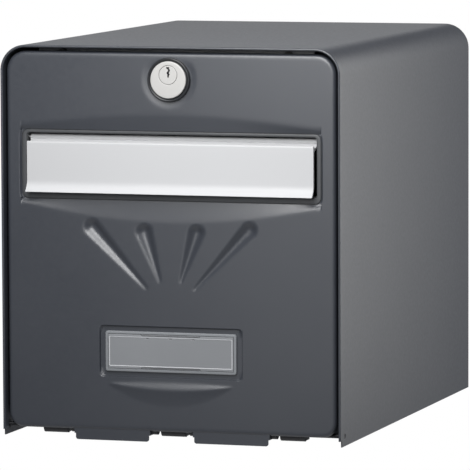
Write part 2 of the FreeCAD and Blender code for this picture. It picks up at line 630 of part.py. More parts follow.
def slot_frame():
    """Frame behind the door's opening: raised face, mouth, throat and the holes for the flap's axle."""
    body = new_piece("slot_frame")
    flange_y = f"({FRAME_Y} + Size.skin)"
    throat_y = f"({flange_y} + Size.throat)"
    face_half = f"({SLOT_X} - Size.frame_gap)"
    face_radius = "(Size.slot_corner - Size.frame_gap)"
    lap_half = f"({SLOT_X} + Size.frame_lap)"
    tube_half = f"({MOUTH_X} + Size.skin)"
    pad(body, "front", FRAME_Y, flange_y,
        rounded(minus(face_half), f"{SLOT_FOOT} + Size.frame_gap", face_half, f"{SLOT_TOP} - Size.frame_gap",
                face_radius, face_radius))
    pad(body, "front", flange_y, f"{flange_y} + Size.skin",
        rounded(minus(lap_half), f"{SLOT_FOOT} - Size.frame_lap", lap_half, f"{SLOT_TOP} + Size.frame_lap",
                "Size.slot_corner", "Size.slot_corner"))
    tube_radius = "(Size.mouth_corner + Size.skin)"
    pad(body, "front", flange_y, throat_y,
        rounded(minus(tube_half), f"{MOUTH_FOOT} - Size.skin", tube_half, f"{MOUTH_TOP} + Size.skin",
                tube_radius, tube_radius))
    cut(body, "front", FRAME_Y, throat_y,
        rounded(minus(MOUTH_X), MOUTH_FOOT, MOUTH_X, MOUTH_TOP, "Size.mouth_corner", "Size.mouth_corner"))
    cut(body, "side", minus(tube_half), tube_half, circle(FLAP_Y, FLAP_Z, "Size.axle"))
    return body


def flap_axle():
    """Wire axle across the slot frame's throat."""
    body = new_piece("flap_axle")
    half = f"({MOUTH_X} + Size.skin)"
    pad(body, "side", minus(half), half, circle(FLAP_Y, FLAP_Z, "Size.axle"))
    return body


def flap_buffers():
    """Rubber stops on the throat's floor that the closed flap rests against."""
    body = new_piece("flap_buffers")
    front = f"({FRONT} + Size.flap_face_inset + Size.flap_thick + Size.stop_gap)"
    for across in mirrored_pair(f"{MOUTH_X} - Size.buffer_inset"):
        pad(body, "front", front, f"{front} + Size.buffer_deep",
            rectangle(f"{across} - Size.buffer_wide/2", MOUTH_FOOT, f"{across} + Size.buffer_wide/2",
                      f"{MOUTH_FOOT} + Size.buffer_tall"))
    return body


def flap_panel():
    """Extruded flap: hinge bead, web, face plate and a lip flared forward at the foot."""
    body = new_piece("flap_panel")
    half = f"({MOUTH_X} - Size.flap_end_gap)"
    face = f"({FRONT} + Size.flap_face_inset)"
    rear = f"({face} + Size.flap_thick)"
    top = f"({FLAP_Z} - Size.flap_top_drop)"
    lip_y = f"({FRONT} + Size.lip_inset)"
    lip_z = f"({SLOT_FOOT} + Size.lip_gap)"
    crease = f"({lip_z} + Size.crease_rise)"
    shoulder = f"({top} - Size.flap_roll)"
    pad(body, "side", minus(half), half, polygon([
        (face, crease), (face, shoulder), (f"{face} + Size.roll_deep", f"{top} - Size.roll_low"),
        (rear, top), (rear, f"{top} - Size.web_drop"), (FLAP_Y, f"{FLAP_Z} - Size.web_root"),
        (FLAP_Y, f"{FLAP_Z} - Size.bead/2"), (rear, f"{top} - Size.web_drop - Size.web_thick"),
        (rear, crease), (f"{lip_y} + Size.flap_thick", lip_z), (lip_y, lip_z)]))
    pad(body, "side", minus(half), half, circle(FLAP_Y, FLAP_Z, "Size.bead"))
    cut(body, "side", minus(half), half, circle(FLAP_Y, FLAP_Z, "Size.axle + 2*Size.run_gap"))
    return body


def lock_body():
    """Lock housing: round face and a barrel through the door, bored off centre for the plug."""
    body = new_piece("lock_body")
    face = f"({DOOR_Y} - Size.face_proud)"
    pad(body, "front", face, f"{face} + Size.face_thick", circle("0", LOCK_Z, FACE))
    pad(body, "front", f"{face} + Size.face_thick", BARREL_Y, circle("0", LOCK_Z, BARREL))
    cut(body, "front", face, BARREL_Y, circle("0", PLUG_Z, "Size.plug + 2*Size.run_gap"))
    return body


def lock_bezel():
    """Rosette between the lock's face and the door."""
    body = new_piece("lock_bezel")
    front = f"({DOOR_Y} - Size.bezel_proud)"
    seat = f"({DOOR_Y} - Size.face_proud + Size.face_thick)"
    pocket = f"({FACE} + 2*Size.hole_gap)"
    pad(body, "front", front, DOOR_Y, circle("0", LOCK_Z, f"{pocket} + 2*Size.bezel_wall"))
    cut(body, "front", front, seat, circle("0", LOCK_Z, pocket))
    cut(body, "front", seat, DOOR_Y, circle("0", LOCK_Z, f"{BARREL} + 2*Size.hole_gap"))
    fillet(body, "Size.bezel_round", on_level(1, front))
    return body


def lock_nut():
    """Nut that clamps the lock from inside the door."""
    body = new_piece("lock_nut")
    rear = f"({LEAF_Y} + Size.nut_thick)"
    pad(body, "front", LEAF_Y, rear, hexagon("0", LOCK_Z, f"({BARREL} + 2*Size.nut_lip)"))
    cut(body, "front", LEAF_Y, rear, circle("0", LOCK_Z, BARREL))
    return body


def lock_plug():
    """Plug that the key turns: keyway in front, square tail with a screw hole behind."""
    body = new_piece("lock_plug")
    face = f"({DOOR_Y} - Size.face_proud + Size.plug_back)"
    pad(body, "front", face, CAM_Y, circle("0", PLUG_Z, "Size.plug"))
    pad(body, "front", CAM_Y, CAM_END, square("0", PLUG_Z))
    cut(body, "front", face, f"{face} + Size.key_deep",
        rectangle("-Size.key_wide/2", f"{PLUG_Z} - Size.key_tall/2", "Size.key_wide/2",
                  f"{PLUG_Z} + Size.key_tall/2"))
    cut(body, "front", f"{CAM_END} - Size.cam_screw_long", CAM_END, circle("0", PLUG_Z, "Size.cam_screw"))
    return body


def square(across, up):
    """Outline of the plug's square drive."""
    half = "Size.square/2"
    return rectangle(f"{across} - {half}", f"{up} - {half}", f"{across} + {half}", f"{up} + {half}")


def lock_cam():
    """Flat cam on the plug's square; it points sideways while the lock is open."""
    body = new_piece("lock_cam")
    pad(body, "front", CAM_Y, CAM_END, circle("0", PLUG_Z, "Size.cam_wide"))
    reach = f"({CEILING} - Size.skin - Size.cam_tip_gap - {PLUG_Z})"
    pad(body, "front", CAM_Y, CAM_END,
        rounded("0", f"{PLUG_Z} - Size.cam_arm/2", reach, f"{PLUG_Z} + Size.cam_arm/2",
                "Size.cam_corner", "Size.cam_corner"))
    cut(body, "front", CAM_Y, CAM_END, square("0", PLUG_Z))
    return body


def cam_washer():
    """Washer under the cam's screw."""
    body = new_piece("cam_washer")
    rear = f"({CAM_END} + Size.washer_thick)"
    pad(body, "front", CAM_END, rear, circle("0", PLUG_Z, "Size.washer_face"))
    cut(body, "front", CAM_END, rear, circle("0", PLUG_Z, "Size.cam_screw"))
    return body


def cam_screw():
    """Screw that holds the cam on the plug."""
    body = new_piece("cam_screw")
    seat = f"({CAM_END} + Size.washer_thick)"
    pad(body, "front", f"{CAM_END} - Size.cam_screw_long", seat, circle("0", PLUG_Z, "Size.cam_screw"))
    pad(body, "front", seat, f"{seat} + Size.cam_screw_cap", circle("0", PLUG_Z, "Size.cam_screw_head"))
    return body


def hook_levels():
    """Heights of the name plate's two hooks, just inside its lower and upper edges."""
    edge = "(Size.holder_tall/2 - Size.rim_wide)"
    return ((f"({PLATE_Z} - {edge} - Size.hook_tall/2)", f"({PLATE_Z} - {edge} + Size.hook_tall/2)"),
            (f"({PLATE_Z} + {edge} - Size.hook_tall/2)", f"({PLATE_Z} + {edge} + Size.hook_tall/2)"))


def label_holder():
    """Moulded tray for the name card, hooked through the door's skin."""
    body = new_piece("label_holder")
    half, rise = "(Size.holder_wide/2)", "(Size.holder_tall/2)"
    seat = f"({PLATE_Y} - Size.holder_thick)"
    front = f"({seat} - Size.holder_rim)"
    pad(body, "front", front, PLATE_Y,
        rounded(minus(half), f"{PLATE_Z} - {rise}", half, f"{PLATE_Z} + {rise}",
                "Size.holder_corner", "Size.holder_corner"))
    cut(body, "front", front, seat,
        rectangle(f"(Size.rim_wide - {half})", f"{PLATE_Z} - {rise} + Size.rim_wide",
                  f"({half} - Size.rim_wide)", f"{PLATE_Z} + {rise} - Size.rim_wide"))
    for low, high in hook_levels():
        pad(body, "front", PLATE_Y, f"{PLATE_Y} + Size.hook_long",
            rectangle("-Size.hook_wide/2", low, "Size.hook_wide/2", high))
    return body


def label_card():
    """Blank paper insert."""
    body = new_piece("label_card")
    seat = f"({PLATE_Y} - Size.holder_thick)"
    pad(body, "front", f"{seat} - Size.card_thick", seat,
        rectangle("-Size.card_wide/2", f"{PLATE_Z} - Size.card_tall/2", "Size.card_wide/2",
                  f"{PLATE_Z} + Size.card_tall/2"))
    return body


def label_window():
    """Clear cover over the card, clipped inside the holder's rim."""
    body = new_piece("label_window")
    rear = f"({PLATE_Y} - Size.holder_thick - Size.card_thick)"
    half = "(Size.holder_wide/2 - Size.rim_wide - Size.window_gap)"
    rise = "(Size.holder_tall/2 - Size.rim_wide - Size.window_gap)"
    pad(body, "front", f"{rear} - Size.window_thick", rear,
        rectangle(minus(half), f"{PLATE_Z} - {rise}", half, f"{PLATE_Z} + {rise}"))
    return body


def check_and_write():
    """Refuses failed features and bad solids, then writes one file for each piece."""
    for item in doc.Objects:
        if "Invalid" in item.State or "Error" in item.State:
            raise RuntimeError("%s: %s" % (item.Name, item.State))
    for body in made:
        if body.Shape.isNull() or not body.Shape.isValid():
            raise RuntimeError(body.Label + " has no valid shape")
        body.Shape.exportStep("parts/%s.step" % body.Label)


outer_shell()
back_panel()
floor_panel()
strike_rail()
door_buffers()
hinge_rail()
hinge_block("hinge_block_left", -1)
hinge_block("hinge_block_middle", 0)
hinge_block("hinge_block_right", 1)
block_screws()
hinge_rod()
rod_clips()
door_panel()
hinge_bracket("hinge_bracket_left", -1)
hinge_bracket("hinge_bracket_right", 1)
hinge_bushes()
slot_frame()
flap_axle()
flap_buffers()
flap_panel()
lock_body()
lock_bezel()
lock_nut()
lock_plug()
lock_cam()
cam_washer()
cam_screw()
label_holder()
label_card()
label_window()
doc.recompute()
check_and_write()
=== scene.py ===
"""Wall mounted mailbox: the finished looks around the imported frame.

Shapes are worked out in millimetres of the casing: x to the right from its middle,
y back from its front edge, z up from its foot. show() turns them into the frame's metres.
"""
import math

import bmesh
import bpy
import numpy as np
from mathutils import Matrix, Vector
from mathutils.geometry import tessellate_polygon


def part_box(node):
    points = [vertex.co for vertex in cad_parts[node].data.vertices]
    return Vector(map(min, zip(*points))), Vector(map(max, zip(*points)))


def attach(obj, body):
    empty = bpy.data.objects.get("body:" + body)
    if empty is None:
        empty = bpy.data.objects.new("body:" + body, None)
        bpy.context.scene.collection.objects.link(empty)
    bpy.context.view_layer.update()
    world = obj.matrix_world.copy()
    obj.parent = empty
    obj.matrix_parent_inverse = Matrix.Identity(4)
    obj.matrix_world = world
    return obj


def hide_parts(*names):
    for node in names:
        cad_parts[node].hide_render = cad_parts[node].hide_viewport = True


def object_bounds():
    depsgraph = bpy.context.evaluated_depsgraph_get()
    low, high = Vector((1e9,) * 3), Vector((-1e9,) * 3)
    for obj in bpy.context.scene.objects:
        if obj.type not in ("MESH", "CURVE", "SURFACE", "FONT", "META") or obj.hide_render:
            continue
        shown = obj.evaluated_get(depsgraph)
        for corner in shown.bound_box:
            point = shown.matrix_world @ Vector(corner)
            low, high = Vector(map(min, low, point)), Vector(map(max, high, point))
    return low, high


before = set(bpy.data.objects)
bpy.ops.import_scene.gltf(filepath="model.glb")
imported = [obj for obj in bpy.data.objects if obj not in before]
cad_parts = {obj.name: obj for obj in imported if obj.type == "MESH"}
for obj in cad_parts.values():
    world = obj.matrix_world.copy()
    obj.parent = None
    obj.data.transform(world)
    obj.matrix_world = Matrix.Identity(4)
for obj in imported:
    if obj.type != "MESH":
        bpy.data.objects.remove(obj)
cad_low, cad_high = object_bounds()

MM = 1000  # millimetres in a metre
ORIGIN = np.array([0.0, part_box("outer_shell")[0].y * MM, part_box("outer_shell")[0].z * MM])


def corners(node):
    """Lowest and highest corner of a frame node, in millimetres of the casing."""
    low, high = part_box(node)
    return np.array(low) * MM - ORIGIN, np.array(high) * MM - ORIGIN


# ---------------------------------------------------------------- finishes

SLOW_GRAIN = 14.0                # slow noise's scale, per metre
MIDDLING_STEP = 6                # how many times coarser the middling noise is than the fine one
FADE_LOW, FADE_HIGH = 0.3, 0.7   # part of a noise's range that is spread over a whole ramp


def node(tree, kind, **sockets):
    """Adds a shader node; a socket given another node's output is linked, else it is set."""
    made = tree.nodes.new(kind)
    for name, wanted in sockets.items():
        socket = made.inputs[name.replace("_", " ")]
        if isinstance(wanted, bpy.types.NodeSocket):
            tree.links.new(wanted, socket)
        else:
            socket.default_value = wanted
    return made


def finish_of(name, base, tint, roughness, spread, grain, relief, metallic=0.0, stretch=(1, 1, 1), **shader):
    """Principled finish. Colour wanders from base to tint on a slow noise, roughness by +-spread on
    a middling one, and a fine noise of the given grain (per metre) raises relief metres of bump."""
    material = bpy.data.materials.new(name)
    material.use_nodes = True
    tree = material.node_tree
    tree.nodes.clear()
    place = node(tree, "ShaderNodeTexCoord").outputs["Object"]
    drawn = node(tree, "ShaderNodeMapping", Vector=place, Scale=stretch).outputs["Vector"]
    slow = node(tree, "ShaderNodeTexNoise", Vector=drawn, Scale=SLOW_GRAIN, Detail=3.0).outputs["Fac"]
    middling = node(tree, "ShaderNodeTexNoise", Vector=drawn, Scale=grain / MIDDLING_STEP,
                    Detail=4.0).outputs["Fac"]
    fine = node(tree, "ShaderNodeTexNoise", Vector=drawn, Scale=grain, Detail=3.0).outputs["Fac"]
    colours = node(tree, "ShaderNodeValToRGB", Fac=slow)
    colours.color_ramp.elements[0].position = FADE_LOW
    colours.color_ramp.elements[1].position = FADE_HIGH
    colours.color_ramp.elements[0].color = (*base, 1)
    colours.color_ramp.elements[1].color = (*tint, 1)
    dull = node(tree, "ShaderNodeMapRange", Value=middling, From_Min=FADE_LOW, From_Max=FADE_HIGH,
                To_Min=roughness - spread, To_Max=roughness + spread)
    bump = node(tree, "ShaderNodeBump", Height=fine, Strength=1.0, Distance=relief)
    surface = node(tree, "ShaderNodeBsdfPrincipled", Base_Color=colours.outputs["Color"],
                   Roughness=dull.outputs["Result"], Metallic=metallic, Normal=bump.outputs["Normal"])
    for name, amount in shader.items():
        surface.inputs[name.replace("_", " ")].default_value = amount
    node(tree, "ShaderNodeOutputMaterial", Surface=surface.outputs["BSDF"])
    return material


# base colour, tint, roughness, its spread, grain, relief
FINISHES = {
    "casing_paint": finish_of("casing_paint", (0.030, 0.034, 0.043), (0.034, 0.038, 0.047), 0.42, 0.03,
                              2200, 0.000006, Specular_IOR_Level=0.9),
    "door_paint": finish_of("door_paint", (0.030, 0.034, 0.043), (0.034, 0.038, 0.047), 0.37, 0.03,
                            2200, 0.000006, Specular_IOR_Level=0.9),
    "zinc": finish_of("zinc", (0.52, 0.53, 0.54), (0.60, 0.61, 0.62), 0.38, 0.08, 900, 0.00003, metallic=1.0),
    "flap_metal": finish_of("flap_metal", (0.48, 0.483, 0.49), (0.50, 0.503, 0.51), 0.45, 0.03,
                            2600, 0.000008, stretch=(0.04, 1, 1), Specular_IOR_Level=0.35),
    "lock_metal": finish_of("lock_metal", (0.45, 0.444, 0.43), (0.47, 0.464, 0.45), 0.4, 0.03,
                            1400, 0.000006, metallic=0.1),
    "black_zinc": finish_of("black_zinc", (0.03, 0.031, 0.034), (0.045, 0.046, 0.05), 0.4, 0.06,
                            900, 0.00002, metallic=0.6),
    "black_gloss": finish_of("black_gloss", (0.012, 0.013, 0.015), (0.018, 0.019, 0.022), 0.34, 0.04,
                             1200, 0.000006),
    # Black moulding of the hinge blocks and bushes, also used as painted shade in the key plug's keyway.
    "black_moulding": finish_of("black_moulding", (0.012, 0.012, 0.014), (0.019, 0.019, 0.021), 0.45, 0.06,
                                1800, 0.00003),
    "frame_moulding": finish_of("frame_moulding", (0.055, 0.058, 0.062), (0.063, 0.066, 0.070), 0.42, 0.05,
                                1800, 0.00002),
    "rubber": finish_of("rubber", (0.016, 0.016, 0.016), (0.028, 0.027, 0.026), 0.75, 0.06, 1600, 0.00004),
    "frosted_plastic": finish_of("frosted_plastic", (0.19, 0.2, 0.212), (0.21, 0.22, 0.232), 0.45, 0.03,
                                 1300, 0.000006),
    # Darker copy of the frosted plastic: painted shade in the cover's grooves and thumb marks.
    "smoked_line": finish_of("smoked_line", (0.12, 0.123, 0.13), (0.14, 0.143, 0.15), 0.45, 0.04,
                             1300, 0.000006),
    # Paler copy of the frosted plastic, on the cover's raised border line.
    "frosted_line": finish_of("frosted_line", (0.50, 0.51, 0.525), (0.54, 0.55, 0.565), 0.45, 0.04,
                              1300, 0.000006),
    "clear_plastic": finish_of("clear_plastic", (0.27, 0.28, 0.295), (0.29, 0.30, 0.315), 0.35, 0.02,
                               700, 0.000003, Transmission_Weight=0.25, IOR=1.45),
    "paper": finish_of("paper", (0.40, 0.41, 0.43), (0.44, 0.45, 0.47), 0.85, 0.05, 2400, 0.00003),
}

NODE_FINISH = {
    "back_panel": "casing_paint", "floor_panel": "casing_paint", "strike_rail": "casing_paint",
    "outer_shell": "casing_paint", "door_panel": "door_paint", "hinge_bracket_left": "door_paint",
    "hinge_bracket_right": "door_paint", "hinge_rail": "casing_paint", "hinge_block_left": "black_moulding",
    "hinge_block_middle": "black_moulding", "hinge_block_right": "black_moulding", "block_screws": "zinc",
    "hinge_rod": "black_zinc", "rod_clips": "black_zinc", "door_buffers": "rubber",
    "hinge_bushes": "black_moulding",
    "slot_frame": "frame_moulding", "flap_axle": "zinc", "flap_buffers": "rubber", "flap_panel": "flap_metal",
    "lock_body": "lock_metal", "lock_bezel": "black_gloss", "lock_nut": "lock_metal",
    "lock_plug": "lock_metal",
    "lock_cam": "zinc", "cam_washer": "zinc", "cam_screw": "zinc", "label_holder": "frosted_plastic",
    "label_card": "paper", "label_window": "clear_plastic",
}
for name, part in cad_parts.items():
    part.data.materials.clear()
    part.data.materials.append(FINISHES[NODE_FINISH[name]])


# ---------------------------------------------------------------- mesh making

def show(name, points, faces, body, slot, stands_for, sheet=0.0, crease=38, others=()):
    """Makes a piece of points in millimetres and faces, with the finish of the first node it stands for.
    A sheet gets its thickness on the inner side. Edges sharper than crease degrees stay crisp and all
    others are shaded smooth. Others are pairs of a finish's name and one truth value a face: those
    faces get that finish."""
    mesh = bpy.data.meshes.new(name)
    mesh.from_pydata((points + ORIGIN) / MM, [], faces)
    mesh.validate()
    piece = bpy.data.objects.new(name, mesh)
    bpy.context.scene.collection.objects.link(piece)
    if sheet:
        wall = piece.modifiers.new("wall", "SOLIDIFY")
        wall.thickness = sheet / MM
        wall.offset = -1
        wall.use_even_offset = True
        wall.use_quality_normals = True
        ready = piece.evaluated_get(bpy.context.evaluated_depsgraph_get())
        piece.data = bpy.data.meshes.new_from_object(ready)
        piece.modifiers.clear()
    piece.data.shade_smooth()
    piece.data.set_sharp_from_angle(angle=math.radians(crease))
    piece.data.materials.clear()
    piece.data.materials.append(FINISHES[NODE_FINISH[stands_for[0]]])
    if others:
        index = np.zeros(len(piece.data.polygons), np.int32)
        for place, (finish, chosen) in enumerate(others, start=1):
            piece.data.materials.append(FINISHES[finish])
            index[np.asarray(chosen)] = place
        piece.data.polygons.foreach_set("material_index", index)
    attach(piece, body)
    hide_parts(*stands_for)


def grid_faces(rows, columns, around=False, closed=False):
    """Quads of a grid of rows by columns, joined from its last column to its first (around) and from its
    last row to its first (closed)."""
    index = np.arange(rows * columns).reshape(rows, columns)
    if around:
        index = np.concatenate([index, index[:, :1]], axis=1)
    if closed:
        index = np.concatenate([index, index[:1]], axis=0)
    return np.stack([index[:-1, :-1], index[:-1, 1:], index[1:, 1:], index[1:, :-1]], axis=-1).reshape(-1, 4)


def loft(loops, ends="closed"):
    """Skin over loops of equal length: each is an (n, 3) array, joined to the next point by point.
    Ends are joined to each other (closed), or fanned to their mean points (capped)."""
    rings = np.stack(loops)
    count, around = rings.shape[:2]
    points = rings.reshape(-1, 3)
    faces = grid_faces(count, around, around=True, closed=ends == "closed").tolist()
    if ends == "capped":
        points = np.vstack([points, rings[0].mean(0), rings[-1].mean(0)])
        turn = np.arange(around)
        last = (count - 1) * around
        first_hub = np.full(around, count * around)
        faces += np.stack([first_hub, (turn + 1) % around, turn], 1).tolist()
        faces += np.stack([first_hub + 1, last + turn, last + (turn + 1) % around], 1).tolist()
    return points, faces


def joined(*parts):
    """Several (points, faces) shells as one."""
    points, faces, start = [], [], 0
    for some_points, some_faces in parts:
        points.append(some_points)
        faces += [[start + corner for corner in face] for face in some_faces]
        start += len(some_points)
    return np.vstack(points), faces


ROUND = 96  # points of a full circle


def ring(centre, radius, y):
    """Circle in a plane of constant y: centre (x, z) plus radius times (cos, sin)."""
    turn = np.linspace(0, 2 * np.pi, ROUND, endpoint=False)
    return np.stack([centre[0] + radius * np.cos(turn), np.full(ROUND, float(y)),
                     centre[1] + radius * np.sin(turn)], 1)


def frame_loop(low, high, radius, y, turns=8):
    """Rectangle from low to high (x, z) with rounded corners, in a plane of constant y, anticlockwise
    from the front: every corner is a quarter circle of turns + 1 points."""
    quarter = np.linspace(0, np.pi / 2, turns + 1)
    arcs = []
    left, right, foot, head = low[0] + radius, high[0] - radius, low[1] + radius, high[1] - radius
    for start, x, z in ((0, right, head), (np.pi / 2, left, head), (np.pi, left, foot),
                        (1.5 * np.pi, right, foot)):
        arcs.append(np.stack([x + radius * np.cos(start + quarter), z + radius * np.sin(start + quarter)], 1))
    flat = np.vstack(arcs)
    return np.stack([flat[:, 0], np.full(len(flat), float(y)), flat[:, 1]], 1)


def grown(low, high, by):
    """Rectangle's low and high corner, moved outwards by the given amount on every side."""
    return (low[0] - by, low[1] - by), (high[0] + by, high[1] + by)


def arc(centre, radius, start, stop, count):
    """Points of a circle's arc between two angles in degrees."""
    turn = np.radians(np.linspace(start, stop, count))
    return np.stack([centre[0] + radius * np.cos(turn), centre[1] + radius * np.sin(turn)], 1)


def bend(start, pull, stop, count):
    """Quadratic curve from start to stop, drawn towards pull."""
    t = np.linspace(0, 1, count)[:, None]
    return (1 - t) ** 2 * np.array(start) + 2 * t * (1 - t) * np.array(pull) + t ** 2 * np.array(stop)


def bar(profile, left, right, soft=0.0):
    """Closed profile of (y, z) points carried along x and capped. Its ends are eased: the section is soft
    smaller on every side at the tip, a third of that a little further in, and whole from soft onwards."""
    loops = []
    middle = profile.mean(0)
    reach = np.abs(profile - middle).max(0)
    third = 0.3 * soft
    steps = ((left, soft), (left + third, third), (left + soft, 0), (right - soft, 0), (right - third, third),
             (right, soft)) if soft else ((left, 0), (right, 0))
    for x, inset in steps:
        drawn = middle + (profile - middle) * (1 - inset / reach)
        loops.append(np.stack([np.full(len(drawn), float(x)), drawn[:, 0], drawn[:, 1]], 1))
    points = np.vstack(loops)
    around = len(profile)
    faces = grid_faces(len(loops), around, around=True).tolist()
    flat = [Vector((y, z, 0)) for y, z in profile]
    for triangle in tessellate_polygon([flat]):
        faces.append(list(triangle))
        faces.append([(len(loops) - 1) * around + corner for corner in reversed(triangle)])
    return points, faces


def facing_out(points, faces):
    """Turns every face round if the shell's signed volume is negative."""
    fans = np.array([(face[0], *pair) for face in faces for pair in zip(face[1:-1], face[2:])])
    volume = (points[fans[:, 0]] * np.cross(points[fans[:, 1]], points[fans[:, 2]])).sum()
    return (points, faces) if volume > 0 else (points, [face[::-1] for face in faces])


def smooth(t):
    """0 below 0, 1 above 1 and 3t^2 - 2t^3 between."""
    t = np.clip(t, 0, 1)
    return t * t * (3 - 2 * t)


def rising(distance, soft):
    """0 below, distance above, joined by a parabola within soft of zero."""
    joint = (distance + soft) ** 2 / (4 * soft)
    return np.where(distance < -soft, 0, np.where(distance > soft, distance, joint))


def outside(x, z, low, high, radius):
    """Signed distance to a rounded rectangle, negative inside."""
    over_x = np.abs(x - (low[0] + high[0]) / 2) - (high[0] - low[0]) / 2 + radius
    over_z = np.abs(z - (low[1] + high[1]) / 2) - (high[1] - low[1]) / 2 + radius
    beyond = np.hypot(np.maximum(over_x, 0), np.maximum(over_z, 0))
    return beyond + np.minimum(np.maximum(over_x, over_z), 0) - radius


def rounded_off(x, z, centre, radius, towards, fade):
    """Moves grid points round an arc's centre so that the square of half side radius becomes a circle.
    The move fades out by fade times the radius; towards keeps it in one quarter of the plane."""
    dx, dz = x - centre[0], z - centre[1]
    square = np.maximum(np.abs(dx), np.abs(dz))
    length = np.maximum(np.hypot(dx, dz), 1e-9)
    if fade > 1:
        share = 1 - smooth((square / radius - 1) / (fade - 1))
        share = np.where(square < radius, smooth(square / radius), share)
    else:
        share = np.where(square <= radius + 1e-6, smooth(square / radius), 0)
    inside = (dx * towards[0] >= -1e-9) & (dz * towards[1] >= -1e-9) if towards else np.ones_like(dx, bool)
    pull = np.where(inside, 1 + share * (square / length - 1), 1)
    return centre[0] + dx * pull, centre[1] + dz * pull


def lines(*stops):
    """Grid lines through the stops: (place, step up to the next stop)."""
    found = [np.array([stops[0][0]], float)]
    for (here, step), (there, _) in zip(stops[:-1], stops[1:]):
        count = max(1, int(round((there - here) / step)))
        found.append(np.linspace(here, there, count + 1)[1:])
    return np.concatenate(found)


# ---------------------------------------------------------------- casing

CASING_HALF, CASING_DEPTH, CASING_TOP = corners("outer_shell")[1]
CASING_BEND = 21
CASING_SHEET = 0.95
HEM_ROUND, HEM_DEEP, HEM_FOOT, FOOT_SETBACK = 1, 8, 5, 4
ROD_LOW, ROD_HIGH = corners("hinge_rod")
ROD_Y, ROD_Z = (ROD_LOW[1] + ROD_HIGH[1]) / 2, (ROD_LOW[2] + ROD_HIGH[2]) / 2
ROD_HOLE = 2.15
HOLE_STEP = 2 * ROD_HOLE / 8
WIDE_STEP = 12


def casing_sheet():
    """One sheet over left side, roof and right side, its front edge rolled inwards into a hem.

    Along the sheet: up the left side, round a quarter circle, over the roof and down again. Across it:
    from the rear edge forward, round a half circle of the hem's radius, and back along the inside.
    """
    up = lines((0, HEM_FOOT / 2), (HEM_FOOT, 2.4), (ROD_Z - ROD_HOLE, HOLE_STEP), (ROD_Z + ROD_HOLE, 2.5),
               (ROD_Z + 2 * ROD_HOLE + 4, WIDE_STEP), (CASING_TOP - CASING_BEND, WIDE_STEP))
    sweep = np.linspace(0, np.pi / 2, 25)[1:-1]
    roof = np.linspace(-1, 1, 25) * (CASING_HALF - CASING_BEND)
    spine = np.concatenate([
        np.stack([np.full(len(up), -CASING_HALF), up], 1),
        np.stack([-CASING_HALF + CASING_BEND - CASING_BEND * np.cos(sweep),
                  CASING_TOP - CASING_BEND + CASING_BEND * np.sin(sweep)], 1),
        np.stack([roof, np.full(len(roof), CASING_TOP)], 1),
        np.stack([CASING_HALF - CASING_BEND + CASING_BEND * np.cos(sweep[::-1]),
                  CASING_TOP - CASING_BEND + CASING_BEND * np.sin(sweep[::-1])], 1),
        np.stack([np.full(len(up), CASING_HALF), up[::-1]], 1)])
    bend_centre = np.stack([np.clip(spine[:, 0], -CASING_HALF + CASING_BEND, CASING_HALF - CASING_BEND),
                            np.minimum(spine[:, 1], CASING_TOP - CASING_BEND)], 1)
    inward = bend_centre - spine
    inward /= np.linalg.norm(inward, axis=1)[:, None]
    flat = lines((HEM_ROUND, 3), (FOOT_SETBACK, 2), (ROD_Y - 2 * ROD_HOLE, 1.1),
                 (ROD_Y - ROD_HOLE, HOLE_STEP), (ROD_Y + ROD_HOLE, 2.2), (ROD_Y + 2 * ROD_HOLE, 8), (40, 20),
                 (CASING_DEPTH, 20))[::-1]
    roll = np.linspace(0, np.pi, 10)[1:]
    back = np.array([3, 5.5, HEM_DEEP])
    ahead = np.concatenate([flat, HEM_ROUND * (1 - np.sin(roll)), back])
    depth = np.concatenate([np.zeros(len(flat)), HEM_ROUND * (1 - np.cos(roll)),
                            np.full(len(back), 2.0 * HEM_ROUND)])
    y = np.broadcast_to(ahead, (len(spine), len(ahead)))
    x = spine[:, :1] + inward[:, :1] * depth
    z = spine[:, 1:] + inward[:, 1:] * depth
    near_hole = (np.abs(spine[:, 1] - ROD_Z) <= 2 * ROD_HOLE)[:, None] & (depth < HEM_ROUND / 2)
    moved_y, moved_z = rounded_off(y, z, (ROD_Y, ROD_Z), ROD_HOLE, None, 2)
    y, z = np.where(near_hole, moved_y, y), np.where(near_hole, moved_z, z)
    faces = grid_faces(len(spine), len(ahead))
    cell_row, cell_column = np.divmod(np.arange(len(faces)), len(ahead) - 1)
    level = (spine[cell_row, 1] + spine[cell_row + 1, 1]) / 2
    forward = (ahead[cell_column] + ahead[cell_column + 1]) / 2
    hemmed = cell_column >= len(flat) - 1
    gone = (level < HEM_FOOT) & (hemmed | (forward < FOOT_SETBACK))
    gone |= (np.abs(level - ROD_Z) < ROD_HOLE) & (np.abs(forward - ROD_Y) < ROD_HOLE) & ~hemmed
    points = np.stack([x, y, z], -1).reshape(-1, 3)
    return points, faces[~gone].tolist()


show("casing_sheet", *casing_sheet(), body="casing", slot="casing_paint", stands_for=("outer_shell",),
     sheet=CASING_SHEET)


# ---------------------------------------------------------------- door

DOOR_LOW = np.array([-138.2, 2.5, 7.0])
DOOR_HIGH = np.array([138.2, 14.5, 312.0])
DOOR_SHEET, DOOR_EDGE = 0.95, 3
DOOR_CORNER, DOOR_CROWN = 12, 16
MOUTH_LOW, MOUTH_HIGH, MOUTH_CORNER = (-125.9, 192.8), (125.9, 249.3), 5.5
LENS_SINK, LENS_RISE, LENS_DROP, LENS_END = 2.0, 12.5, 17.0, 1.5
PLATE_LOW, PLATE_HIGH, PLATE_CORNER, PLATE_SINK = (-59.9, 51.0), (59.9, 91.8), 3.5, 2.0
LOCK = (0.0, 290.5)
FLUTES = (((66.0, 171.2), (20.5, 123.0)), ((21.9, 168.1), (9.0, 129.0)))
FLUTE_HEAD, FLUTE_TAIL, FLUTE_SINK = 8.2, 1.6, 0.42
LENS_UPPER_SOFT, LENS_LOWER_SOFT, MOUTH_SOFT = 2.5, 2.0, 1.5
